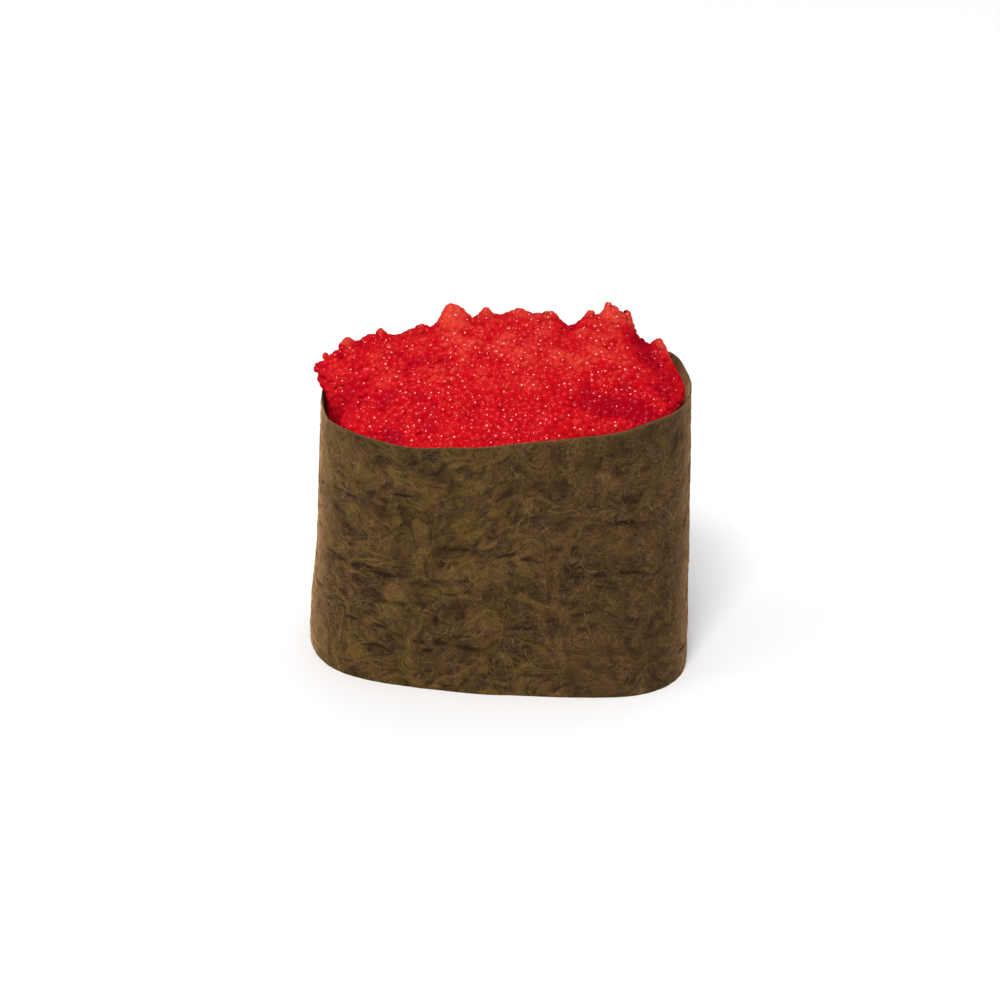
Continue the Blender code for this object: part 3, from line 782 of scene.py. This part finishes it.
def build_roe_colour(name):
    """Roe colour: from bright on a peak, which is painted light, through red to deep in a hollow, which
    is painted shade, a little different for each egg by its tone."""
    inputs = {"Hollow": "Float", "Tone": "Float", **dict.fromkeys(ROE_COLOURS, "Color")}
    group, given, out = new_group(name, inputs, {"Color": "Color"})
    sway = times(group, reckon(group, "SUBTRACT", given["Tone"], 0.5), 0.36)
    level = reckon(group, "SUBTRACT", given["Hollow"], sway)
    # painted light: toward the bright colour on the peaks
    tone = mixed(group, ranged(group, level, 0.5, 0.12), given["Red"], given["Bright"])
    # painted shade: toward the deep colour in the hollows
    group.links.new(mixed(group, ranged(group, level, 0.5, 0.9), tone, given["Deep"]), out["Color"])
    return group


def build_starch(name):
    """Rice colour: white with faint cream clouds, mixed toward the shade colour by the given amount, which
    paints shade on the core between the grains.
    """
    inputs = {"Place": "Vector", **dict.fromkeys(RICE_COLOURS, "Color"), "Amount": "Float"}
    group, given, out = new_group(name, inputs, {"Color": "Color", "Height": "Float"})
    mottle = cloud(group, given["Place"], 700.0, 3.0, 0.6)
    amount = reckon(group, "ADD", times(group, mottle, 0.5), given["Amount"], clamp=True)
    group.links.new(mixed(group, amount, given["White"], given["Shade"]), out["Color"])
    group.links.new(mottle, out["Height"])
    return group


def start_material(name):
    """A material with only its Principled shader and output, and the place in object space."""
    material = bpy.data.materials.new(name)
    material.use_nodes = True
    tree = material.node_tree
    place = add(tree, "ShaderNodeTexCoord").outputs["Object"]
    return material, tree, tree.nodes["Principled BSDF"], place


def set_shader(shader, **constants):
    """Set constants on the shader's own sockets; underscores stand for spaces."""
    for name, value in constants.items():
        shader.inputs[name.replace("_", " ")].default_value = value


def marked(tree, name):
    """The value that a mesh carries at its points."""
    return add(tree, "ShaderNodeAttribute", attribute_name=name).outputs["Fac"]


def roughened(tree, height, strength, distance):
    """A bump from a height."""
    made = add(tree, "ShaderNodeBump", {"Height": height, "Strength": strength, "Distance": distance})
    return made.outputs["Normal"]


def grouped(tree, name, build, settings, labels, **inputs):
    """The outputs of a shared node group, built the first time it is asked for. Its colours come from
    the settings of the same names, its other inputs are values or links."""
    group = bpy.data.node_groups.get(name) or build(name)
    inputs.update((label, paint(getattr(settings, label.lower()))) for label in labels)
    return add(tree, "ShaderNodeGroup", inputs, node_tree=group).outputs


def seaweed_material(name, settings, hairs, dashes):
    """Dry pressed seaweed: matt, with a faint fuzz at grazing angles. Returns it before its base
    colour is linked, with the group's colour."""
    material, tree, shader, place = start_material(name)
    made = grouped(tree, "Seaweed", build_seaweed, settings, SEAWEED_COLOURS, Place=place, Hairs=hairs,
                   Dashes=dashes)
    tree.links.new(roughened(tree, made["Height"], 0.5, 0.12 * MM), shader.inputs["Normal"])
    set_shader(shader, Roughness=0.70, Specular_IOR_Level=0.08, Sheen_Weight=0.55, Sheen_Roughness=0.35,
               Sheen_Tint=(1.0, 0.56, 0.26, 1.0))
    return material, tree, shader, made["Color"]


def shaded(tree, tone, settings):
    """A colour with painted shade: darker in creases and between tufts, from the values the mesh carries."""
    dark = paint(settings.shadow)
    # painted shade in the crease troughs
    tone = toward(tree, tone, dark, ranged(tree, marked(tree, "crease"), 0.05, 0.75), 0.85)
    # painted shade in the relief's hollows between tufts
    return toward(tree, tone, dark, ranged(tree, marked(tree, "low"), 0.42, 0.95), 0.6)


def nori_material(settings):
    """The sheet: seaweed, with painted shade in its creases, and paler on its cut edge."""
    material, tree, shader, tone = seaweed_material("nori_sheet", settings, 0.42, 0.60)
    tone = shaded(tree, tone, settings)
    tone = toward(tree, tone, paint(settings.straw), marked(tree, "edge"), 0.30)
    tree.links.new(tone, shader.inputs["Base Color"])
    return material


def fibre_material(settings):
    """Raised fibres: seaweed, each one a little paler by its own tone, with painted shade where they lie in
    creases and hollows.
    """
    material, tree, shader, tone = seaweed_material("nori_fibre", settings, 0.0, 0.3)
    tone = shaded(tree, mixed(tree, marked(tree, "tone"), tone, paint(settings.straw)), settings)
    tree.links.new(tone, shader.inputs["Base Color"])
    return material


def roe_material(name, settings, roughness):
    """Wet translucent roe: light enters and spreads inside, mostly red, under a clear wet skin."""
    material, tree, shader, _ = start_material(name)
    made = grouped(tree, "Roe colour", build_roe_colour, settings, ROE_COLOURS,
                   Hollow=marked(tree, "hollow"), Tone=marked(tree, "tone"))
    tree.links.new(made["Color"], shader.inputs["Base Color"])
    # light spreads inside the mass, so its shade follows the heap more than the single egg
    own = add(tree, "ShaderNodeNewGeometry").outputs["Normal"]
    heap = add(tree, "ShaderNodeAttribute", attribute_name="square").outputs["Vector"]
    shade = add(tree, "ShaderNodeMix", {0: 0.88, 4: own, 5: heap}, data_type="VECTOR").outputs[1]
    shade = add(tree, "ShaderNodeVectorMath", {0: shade}, operation="NORMALIZE").outputs[0]
    tree.links.new(shade, shader.inputs["Normal"])
    # the wet skin keeps each egg's own form, some eggs wetter than others
    tree.links.new(marked(tree, "gloss"), shader.inputs["Coat Weight"])
    set_shader(shader, Roughness=0.55, Specular_IOR_Level=0.0, Coat_Roughness=roughness, Coat_IOR=1.8)
    return material


def rice_material(name, settings, amount):
    """Moist cooked rice: off-white, a little see-through, with a soft shine."""
    material, tree, shader, place = start_material(name)
    made = grouped(tree, "Starch", build_starch, settings, RICE_COLOURS, Place=place, Amount=amount)
    tree.links.new(made["Color"], shader.inputs["Base Color"])
    tree.links.new(roughened(tree, made["Height"], 0.2, 0.15 * MM), shader.inputs["Normal"])
    set_shader(shader, Roughness=0.38, Specular_IOR_Level=0.4, Subsurface_Weight=0.3,
               Subsurface_Radius=(1.0, 0.8, 0.6), Subsurface_Scale=0.8 * MM)
    return material


def floor_material(settings):
    """A plain pale floor with the faintest mottle."""
    material, tree, shader, place = start_material("floor_paint")
    tone = toward(tree, paint(settings.floor), (0.86, 0.86, 0.86, 1.0), cloud(tree, place, 14.0, 2.0), 0.02)
    tree.links.new(tone, shader.inputs["Base Color"])
    set_shader(shader, Roughness=0.9, Specular_IOR_Level=0.0)
    return material


# ---------------------------------------------------------------- the pieces

class SUSHI_OT_nori_wrap(bpy.types.Operator):
    """Roll the seaweed strip once round, its slanted outer end lapped over its tucked-in start"""
    bl_idname = "sushi.nori_wrap"
    bl_label = "Nori wrap"

    def execute(self, context):
        settings = context.scene.sushi_nori
        theta = strip_angle(np.linspace(strip_run(STRIP_START), strip_run(STRIP_END), WRAP_COLUMNS + 1))
        inner_rows = WRAP_ROWS // INNER_STEP
        pivot = STRIP_END - SLANT_REACH

        def layer(rows, inset):
            """One face of the sheet; its last stretch is drawn in to end on the slanted free edge."""
            up = np.linspace(0.0, 1.0, rows + 1)[:, None]
            angle = np.broadcast_to(theta, (rows + 1, len(theta)))
            cut = STRIP_END - (FREE_EDGE_TOP - FREE_EDGE_FOOT) * (1.0 - up)
            angle = np.where(angle > pivot, pivot + (angle - pivot) * (cut - pivot) / SLANT_REACH, angle)
            z = rim_height(angle) * up
            relief, crease, low = sheet_relief(strip_run(angle), z, settings)
            if inset:
                relief = 0.0
            thin = pressed(angle, z)
            step = tuck(angle - STRIP_START, LAP_SHOWN * thin)
            place = wrap_face(angle, np.broadcast_to(up, angle.shape), step + (inset - relief) * thin)
            edge = np.exp(-((rim_height(angle) - z) / CUT_EDGE) ** 2)
            return place.reshape(-1, 3), crease.ravel(), edge.ravel(), low.ravel()

        outer, *outer_marks = layer(WRAP_ROWS, 0.0)
        inner, *inner_marks = layer(inner_rows, settings.thickness)
        check_frame_fit("nori", outer)
        columns, first = WRAP_COLUMNS + 1, len(outer)
        faces = [grid_faces(WRAP_ROWS + 1, columns), grid_faces(inner_rows + 1, columns, first)[:, ::-1]]
        # the cut edges at the foot and the rim
        along = np.arange(WRAP_COLUMNS)
        for low, high, way in ((0, first, 1), (WRAP_ROWS * columns, first + inner_rows * columns, -1)):
            edge = np.stack([low + along, high + along, high + along + 1, low + along + 1], axis=-1)
            faces.append(edge[:, ::way])
        # the two ends: each tall inner step meets ten outer steps in a fan from its nearer corner
        step = np.arange(WRAP_ROWS)
        half = (step % INNER_STEP) >= INNER_STEP // 2
        knots = np.arange(inner_rows)
        for column, way in ((0, 1), (WRAP_COLUMNS, -1)):
            near_inner = first + (step // INNER_STEP + half) * columns + column
            fan = np.stack([step * columns + column, (step + 1) * columns + column, near_inner], axis=-1)
            middle = (knots * INNER_STEP + INNER_STEP // 2) * columns + column
            corner = first + knots * columns + column
            gap = np.stack([middle, corner + columns, corner], axis=-1)
            faces += [fan[:, ::way], gap[:, ::way]]
        # the crease and low marks carry painted shade of the creases and hollows into the sheet's colour;
        # edge marks the paler stretch below the cut
        marks = {name: np.concatenate(pair)
                 for name, *pair in zip(("crease", "edge", "low"), outer_marks, inner_marks)}
        wrap = make_piece("nori_wrap", np.concatenate([outer, inner]), faces, nori_material(settings), marks,
                          sharp=True)
        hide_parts("nori")
        return {"FINISHED"}


class SUSHI_OT_nori_fibres(bpy.types.Operator):
    """Lay raised seaweed fibres on the outside of the wrap"""
    bl_idname = "sushi.nori_fibres"
    bl_label = "Nori fibres"

    def execute(self, context):
        settings = context.scene.sushi_nori
        chance = np.random.default_rng(31)
        many = settings.fibres
        # each fibre is an arc on the flat strip: its heading turns evenly along its length
        run = chance.uniform(strip_run(STRIP_END - TURN) + 2.0 * MM, strip_run(STRIP_END) - 2.5 * MM, many)
        z = chance.uniform(0.01, 0.985, many) * WRAP_HEIGHT
        reach = chance.gamma(4.0, 0.5, many).clip(0.8, 4.2) * MM
        heading = 1.6 * patchy(run, z, 6.0 * MM, 14) + chance.normal(0.3, 0.55, many)
        bend = chance.normal(0.0, 0.8, many)
        t = np.linspace(-0.5, 0.5, FIBRE_STEPS + 1)
        way = heading[:, None] + bend[:, None] * t
        step = (reach / FIBRE_STEPS)[:, None]
        path_run = run[:, None] + np.cumsum(np.cos(way) * step, axis=1)
        path_z = z[:, None] + np.cumsum(np.sin(way) * step, axis=1)
        rim = rim_height(strip_angle(path_run))
        # fibres stay clear of the foot, the rim and the slanted free edge, and off the part under the lap
        slant = strip_run(STRIP_END - (FREE_EDGE_TOP - FREE_EDGE_FOOT) * (1.0 - path_z / rim))
        turn_length = strip_run(STRIP_END) - strip_run(STRIP_END - TURN)
        foot_room, rim_room, edge_room, lap_room = FIBRE_ROOM
        inside = (path_z > foot_room) & (path_z < rim - rim_room)
        inside &= (path_run < slant - edge_room) & (path_run > slant - turn_length + lap_room)
        keep = inside.all(axis=1)
        path_run, path_z = path_run[keep], path_z[keep]
        many = len(path_run)
        # a three-cornered section: two feet pressed into the sheet and a crest, narrowing to the ends
        taper = np.sqrt(np.clip(1.0 - (2.0 * t) ** 2, 0.06, 1.0))
        size = settings.fibre_width * chance.uniform(0.6, 1.35, many)[:, None] * taper
        lift = settings.fibre_lift * chance.uniform(0.5, 1.4, many)[:, None] * taper
        middle, square = sheet_point(path_run, path_z, settings)
        side = unit(np.cross(np.gradient(middle, axis=1), square)) * (size * 0.5)[..., None]
        crest = middle + square * lift[..., None]
        sunk = middle - square * FIBRE_SUNK
        points = np.stack([sunk + side, crest, sunk - side], axis=2).reshape(many, -1, 3)
        points_each = points.shape[1]
        ring, after = np.arange(3), np.array([1, 2, 0])
        base = np.arange(FIBRE_STEPS)[:, None] * 3
        walls = np.stack([base + ring, base + after, base + 3 + after, base + 3 + ring], axis=-1)
        ends = np.array([[2, 1, 0], [points_each - 3, points_each - 2, points_each - 1]])
        tone = np.repeat(chance.beta(1.4, 2.8, many) * 0.55, points_each)
        _, crease, low = sheet_relief(path_run, path_z, settings)
        # the fibres take the painted shade of the creases and hollows they lie in
        marks = {"tone": tone, "crease": np.repeat(crease * 0.8, 3), "low": np.repeat(low * 0.9, 3)}
        faces = repeated((walls.reshape(-1, 4), ends), many, points_each)
        fibres = make_piece("nori_fibres", points.reshape(-1, 3), faces, fibre_material(settings), marks)
        return {"FINISHED"}


def disc_place(a, b):
    """A place in the square from -1 to 1 carried to the disc of radius 1: squares become circles, and
    the way out is spaced evenly along the dome's own profile, steep side included."""
    r = np.maximum(np.abs(a), np.abs(b))
    wide = np.abs(a) > np.abs(b)
    safe = np.where(r > 0.0, np.where(wide, a, b), 1.0)
    angle = np.where(wide, (b / safe) * (math.pi / 4.0), math.pi / 2.0 - (a / safe) * (math.pi / 4.0))
    angle = angle + np.where(safe < 0.0, math.pi, 0.0)
    fine = np.sin(np.linspace(0.0, 1.0, 3001) * math.pi / 2.0)
    height = HEAP_MEAN[1] * (1.0 - fine ** DOME_EDGE) ** (1.0 / DOME_SHOULDER)
    run = np.concatenate([[0.0], np.cumsum(np.hypot(np.diff(fine) * HEAP_MEAN[0], np.diff(height)))])
    out = np.interp(r * run[-1], run, fine)
    return out * np.cos(angle), out * np.sin(angle)


class SUSHI_OT_roe_core(bpy.types.Operator):
    """Fill the wrap above the rice with the mass of roe that carries the top eggs"""
    bl_idname = "sushi.roe_core"
    bl_label = "Roe core"

    def execute(self, context):
        settings = context.scene.sushi_roe
        chance = np.random.default_rng(41)
        line = np.linspace(-1.0, 1.0, HEAP_CELLS + 1)
        a, b = (part.ravel() for part in np.meshgrid(line, line))
        across, along = disc_place(a, b)
        face = heap_at(across, along)
        check_frame_fit("roe", face, top_only=True)
        square = heap_square(across, along)
        # the core sinks along evened-out vectors, so that a thin clump's sides don't cross
        outward = heap_square(across, along, SOFT_STEP)
        low = face - outward * settings.sink
        # eggs of the layer below stand out of the core as caps of balls
        ca, cb = disc_place(*chance.uniform(-1.0, 1.0, (2, EGG_TRIES[0])))
        centres = heap_at(ca, cb)
        kept = thin_out(centres, settings.spacing, chance)
        radius, depth = (settings.bead * part for part in LOWER_EGG)
        centres = centres[kept] - heap_square(ca[kept], cb[kept]) * (settings.sink + depth)
        i, j, apart = close_pairs(low, centres, radius)
        cap = np.zeros(len(low))
        np.maximum.at(cap, i, np.sqrt(radius ** 2 - apart ** 2) * CAP_SHOWN)
        edge = np.maximum(np.abs(a), np.abs(b)) > 0.999
        cap[edge] = 0.0
        # the core's tone is painted light and shade: low between the caps and higher where a cap stands out,
        # so the roe colour is darker between the caps and lighter on them
        tone = np.full(len(low), 0.35)
        tone[i] = np.clip(0.2 + 0.5 * cap[i] / radius, 0.0, 1.0)
        top = low + outward * cap[:, None]
        # the skirt goes round the grid's border and down to a floor on the rice
        n = HEAP_CELLS + 1
        grid = np.arange(n * n).reshape(n, n)
        border = np.concatenate([grid[0, :-1], grid[:-1, -1], grid[-1, :0:-1], grid[:0:-1, 0]])
        rim = top[border]
        floor_z = RICE_TOP + 0.5 * MM
        hems = [np.column_stack([rim[:, :2], rim[:, 2] + (floor_z - rim[:, 2]) * part])
                for part in (0.3, 0.65, 1.0)]
        points = np.concatenate([top, *hems, [(*MIDDLE, floor_z)]])
        size = len(border)
        rows = np.stack([border, *(len(top) + size * k + np.arange(size) for k in range(3))])
        after = np.roll(rows, -1, axis=1)
        skirt = np.stack([rows[1:], after[1:], after[:-1], rows[:-1]], axis=-1).reshape(-1, 4)
        base = np.stack([rows[-1], np.full(size, len(points) - 1), after[-1]], axis=-1)
        below = len(points) - len(top)
        tones = np.concatenate([tone, np.full(below, 0.3)])
        squares = np.concatenate([soft_square(across, along, square), np.tile([0.0, 0.0, 1.0], (below, 1))])
        core = make_piece("roe_core", points, [grid_faces(n, n), skirt, base],
                          roe_material("roe_mass", settings, 0.22),
                          {"hollow": hollowness(points), "tone": tones, "gloss": tones * 0.3,
                           "square": squares})
        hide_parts("roe")
        return {"FINISHED"}


def ball(columns, rows):
    """A ball of radius 1 from rings of points and two poles: x = sin v cos u, y = sin v sin u and
    z = -cos v."""
    v = np.linspace(0.0, math.pi, rows + 1)[1:-1][:, None]
    u = np.arange(columns) * TURN / columns
    rings = np.stack([np.sin(v) * np.cos(u), np.sin(v) * np.sin(u), -np.cos(v) + 0.0 * u], axis=-1)
    points = np.concatenate([[(0.0, 0.0, -1.0)], rings.reshape(-1, 3), [(0.0, 0.0, 1.0)]])
    return points, ring_faces(rows - 1, columns)


class SUSHI_OT_roe_beads(bpy.types.Operator):
    """Set the top layer of eggs on the heap, with loose eggs on it"""
    bl_idname = "sushi.roe_beads"
    bl_label = "Roe"

    def execute(self, context):
        settings = context.scene.sushi_roe
        chance = np.random.default_rng(51)
        a, b = disc_place(*chance.uniform(-1.0, 1.0, (2, EGG_TRIES[1])))
        face = heap_at(a, b)
        kept = thin_out(face, settings.spacing, chance)
        kept = kept[np.hypot(a[kept], b[kept]) < EDGE_SHARE]
        loose = chance.choice(kept, settings.loose, replace=False)
        a, b = np.concatenate([a[kept], a[loose]]), np.concatenate([b[kept], b[loose]])
        face, square = heap_at(a, b), heap_square(a, b)
        many = len(a)
        size = settings.bead * 0.5 * (1.0 + settings.bead_spread * chance.normal(size=many).clip(-2.0, 2.0))
        proud = settings.jitter * chance.normal(size=many).clip(-2.0, 1.3)
        proud += 0.06 * MM * patchy(face[:, 0], face[:, 1], 3.4 * MM, 15)
        lies_loose = np.arange(many) >= len(kept)
        proud[lies_loose] += settings.bead * LOOSE_LIFT
        shift = chance.normal(size=(many, 3)) * LOOSE_SHIFT * lies_loose[:, None]
        flat = np.where(lies_loose, LOOSE_FLAT, EGG_FLAT)
        centres = face + square * (proud - size * flat)[:, None] + shift
        body, faces = ball(BALL_COLUMNS, BALL_ROWS)
        stretch = 1.0 + EGG_STRETCH * chance.normal(size=(many, 1, 3)).clip(-2.0, 2.0)
        shape = np.einsum("nij,nkj->nki", turned(chance, many), body[None] * stretch) * size[:, None, None]
        # each egg is flattened along the way square to the heap
        upward = np.einsum("nki,ni->nk", shape, square) * (1.0 - flat)[:, None]
        shape = shape - upward[:, :, None] * square[:, None, :]
        points = (shape + centres[:, None, :]).reshape(-1, 3)
        own = unit(shape).reshape(-1, 3)
        # the hollow mark laid on each egg paints shade in the hollows and light on the peaks; the tone
        # differs at random from egg to egg
        # some eggs are wetter than others, and those in hollows less
        hollow, tone = hollowness(centres), chance.uniform(0.0, 1.0, many)
        wet = smooth((chance.uniform(size=many) - DRY_EGGS[0]) / DRY_EGGS[1])
        wet = wet * (1.0 - 0.6 * smooth((hollow - 0.6) / 0.3))
        hollow, tone, wet, a, b = (np.repeat(value, len(body)) for value in (hollow, tone, wet, a, b))
        beads = make_piece("roe_beads", points, repeated(faces, many, len(body)),
                           roe_material("roe_egg", settings, 0.15),
                           {"hollow": hollow, "tone": tone, "gloss": wet, "square": soft_square(a, b, own)})
        return {"FINISHED"}


class SUSHI_OT_rice(bpy.types.Operator):
    """Pack the rice: a core, with whole grains on the open underside"""
    bl_idname = "sushi.rice"
    bl_label = "Rice"

    def execute(self, context):
        settings = context.scene.sushi_rice
        chance = np.random.default_rng(61)
        self.core(settings)
        self.grains(settings, chance)
        return {"FINISHED"}

    def core(self, settings):
        """The core: the wrap's inside drawn in, with rounded edges and clouded relief."""
        theta = np.linspace(0.0, TURN, RICE_COLUMNS + 1)[:-1]
        foot, top = RICE_FOOT, RICE_TOP - 0.3 * MM
        # stations up the block: height, way in from the side, share of the way out
        rounding = [(foot + RICE_ROUND * (1.0 - math.cos(q)), RICE_ROUND * (1.0 - math.sin(q)), 1.0)
                    for q in np.radians(np.arange(0.0, 91.0, 22.5))]
        stations = [(foot, RICE_ROUND, part) for part in np.linspace(0.08, 0.96, 18)] + rounding
        stations += [(z, 0.0, 1.0) for z in np.linspace(foot + RICE_ROUND, top - RICE_ROUND, 12)[1:]]
        stations += [(top - (height - foot), side, 1.0) for height, side, _ in rounding[-2::-1]]
        stations += [(top, RICE_ROUND, part) for part in (0.9, 0.6, 0.3)]
        rings = []
        for height, side, part in stations:
            ring = inside_wrap(theta, height, RICE_GAP + 0.25 * MM + side)
            ring[:, :2] = MIDDLE + (ring[:, :2] - MIDDLE) * part
            bumps = patchy(ring[:, 0] + ring[:, 2], ring[:, 1], 2.4 * MM, 16) * 0.35 * MM
            ring[:, 2] += bumps * (1.0 if height < 2.0 * MM else 0.2)
            rings.append(ring)
        points = np.concatenate([[(*MIDDLE, foot)], *rings, [(*MIDDLE, top)]])
        # painted shade: the core, seen between the grains, is mixed toward the shade colour
        core = make_piece("rice_core", points, ring_faces(len(rings), len(theta)),
                          rice_material("rice_mass", settings, 0.45))
        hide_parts("rice")

    def grains(self, settings, chance):
        """Whole grains, each a long rounded body with a slight bend, lying flat and pressed level
        where they stood on the board."""
        theta = chance.uniform(0.0, TURN, GRAIN_TRIES)
        part = np.sqrt(chance.uniform(0.0, 1.0, GRAIN_TRIES))
        reach = inside_wrap(theta, 0.0, RICE_GAP + settings.grain_width * 0.5)
        middle = np.column_stack([MIDDLE + (reach[:, :2] - MIDDLE) * part[:, None], np.zeros(GRAIN_TRIES)])
        kept = thin_out(middle, settings.grain_width * 0.82, chance)[:settings.grains]
        middle, theta, part = middle[kept], theta[kept], part[kept]
        many = len(kept)
        body, faces = ball(BALL_COLUMNS, BALL_ROWS)
        long = settings.grain_length * 0.5 * chance.uniform(0.85, 1.1, many)[:, None]
        wide = settings.grain_width * 0.5 * chance.uniform(0.88, 1.08, many)[:, None]
        along = body[:, 2] * long
        x, y = body[:, 0] * wide, body[:, 1] * wide + 0.5 * MM * (body[:, 2] ** 2 - 0.4)
        # near the edge a grain lies along the wrap, elsewhere any way
        yaw = np.where(part > 0.86, theta + math.pi / 2.0, chance.uniform(0.0, TURN, many))
        yaw = yaw + chance.normal(0.0, 0.2, many)
        tilt = chance.normal(0.0, 0.10, many)
        cos, sin = np.cos(yaw)[:, None], np.sin(yaw)[:, None]
        rise = chance.uniform(0.80, 1.25, many)[:, None] * MM
        points = np.stack([middle[:, :1] + along * cos - y * sin, middle[:, 1:2] + along * sin + y * cos,
                           rise + x + along * np.tan(tilt)[:, None]], axis=-1)
        # nothing reaches past the wrap's inside or the board
        limit = inside_wrap(np.arctan2(points[..., 1], points[..., 0]), np.zeros(points.shape[:2]), 0.12 * MM)
        room = np.hypot(limit[..., 0], limit[..., 1]) / np.hypot(points[..., 0], points[..., 1])
        points[..., :2] *= np.minimum(1.0, room)[..., None]
        points[..., 2] = np.maximum(points[..., 2], 0.03 * MM)
        grains = make_piece("rice_grains", points.reshape(-1, 3), repeated(faces, many, len(body)),
                            rice_material("rice_grain", settings, 0.0))


# ---------------------------------------------------------------- the stage

def face_toward(made, target, turn, height, distance):
    """Put a light or camera at a distance from a target, at a turn round it from the front and a
    height angle, facing it, and link it to the scene."""
    way = Vector((math.sin(turn) * math.cos(height), -math.cos(turn) * math.cos(height), math.sin(height)))
    made.location = target + way * distance
    made.rotation_euler = way.to_track_quat("Z", "Y").to_euler()
    bpy.context.scene.collection.objects.link(made)


def add_light(name, turn, height, distance, size, brightness):
    """A square soft light that faces the sushi, from a turn round it and a height, both in degrees.
    Its power is its face's brightness times pi times its area, and wet skins don't mirror it."""
    lamp = bpy.data.lights.new(name, "AREA")
    lamp.shape = "SQUARE"
    lamp.size = size
    lamp.energy = brightness * math.pi * size * size
    made = bpy.data.objects.new(name, lamp)
    face_toward(made, LIGHT_TARGET, math.radians(turn), math.radians(height), distance)
    made.visible_glossy = False
    return made


class SUSHI_OT_stage(bpy.types.Operator):
    """Set the pale floor, the soft lights and the camera"""
    bl_idname = "sushi.stage"
    bl_label = "Stage"

    def execute(self, context):
        settings = context.scene.sushi_stage
        mesh = bpy.data.meshes.new("floor")
        corners = [(x * FLOOR_HALF, y * FLOOR_HALF, 0.0) for x, y in ((-1, -1), (1, -1), (1, 1), (-1, 1))]
        mesh.from_pydata(corners, [], [(0, 1, 2, 3)])
        mesh.materials.append(floor_material(settings))
        floor = bpy.data.objects.new("floor", mesh)
        floor.visible_glossy = False
        context.scene.collection.objects.link(floor)
        for name, setting, *place in LIGHTS:
            light = add_light(name, *place, getattr(settings, setting))
            if setting == "spark":  # this one is only seen mirrored in wet skins
                light.visible_glossy, light.visible_diffuse = True, False
                light.data.color = SPARK_COLOUR
        self.light_world(context, settings)
        camera = bpy.data.objects.new("camera", bpy.data.cameras.new("camera"))
        camera.data.lens = settings.lens
        face_toward(camera, CAMERA_TARGET, 0.0, settings.height_angle, settings.distance)
        camera.data.clip_start, camera.data.clip_end = 0.01, 20.0
        context.scene.camera = camera
        context.scene.view_settings.view_transform = "Standard"
        return {"FINISHED"}

    def light_world(self, context, settings):
        """Soft white light from all round, plain white where the camera sees past the floor."""
        world = bpy.data.worlds.new("studio")
        world.use_nodes = True
        tree = world.node_tree
        tree.nodes.clear()
        path = add(tree, "ShaderNodeLightPath").outputs
        light = settings.world
        for ray, seen in (("Is Glossy Ray", settings.gloss), ("Is Camera Ray", 1.0)):
            light = add(tree, "ShaderNodeMix", {0: path[ray], 2: light, 3: seen}).outputs[0]
        sky = add(tree, "ShaderNodeBackground", {"Color": (1.0, 1.0, 1.0, 1.0), "Strength": light})
        add(tree, "ShaderNodeOutputWorld", {"Surface": sky.outputs[0]})
        context.scene.world = world


# ---------------------------------------------------------------- the add-on

MAKERS = (SUSHI_OT_nori_wrap, SUSHI_OT_nori_fibres, SUSHI_OT_roe_core, SUSHI_OT_roe_beads, SUSHI_OT_rice,
          SUSHI_OT_stage)
SETTINGS = {"sushi_nori": SushiNoriSettings, "sushi_roe": SushiRoeSettings, "sushi_rice": SushiRiceSettings,
            "sushi_stage": SushiStageSettings}


class SUSHI_PT_panel(bpy.types.Panel):
    """Sizes, colours and makers of the gunkan sushi"""
    bl_label = "Gunkan sushi"
    bl_space_type = "VIEW_3D"
    bl_region_type = "UI"
    bl_category = "Sushi"

    def draw(self, context):
        for key, group in SETTINGS.items():
            box = self.layout.box()
            box.label(text=group.__doc__)
            for name in group.__annotations__:
                box.prop(getattr(context.scene, key), name)
        for maker in MAKERS:
            self.layout.operator(maker.bl_idname)


def register():
    """Register every class and hang the settings on the scene."""
    for item in (*SETTINGS.values(), *MAKERS, SUSHI_PT_panel):
        bpy.utils.register_class(item)
    for key, group in SETTINGS.items():
        setattr(bpy.types.Scene, key, PointerProperty(type=group))


def unregister():
    """Undo what register did."""
    for key in SETTINGS:
        delattr(bpy.types.Scene, key)
    for item in (SUSHI_PT_panel, *reversed(MAKERS), *reversed(SETTINGS.values())):
        bpy.utils.unregister_class(item)


def main():
    """Make every piece and the stage."""
    register()
    bpy.ops.sushi.nori_wrap()
    bpy.ops.sushi.nori_fibres()
    bpy.ops.sushi.roe_core()
    bpy.ops.sushi.roe_beads()
    bpy.ops.sushi.rice()
    bpy.ops.sushi.stage()


if __name__ == "__main__":
    main()
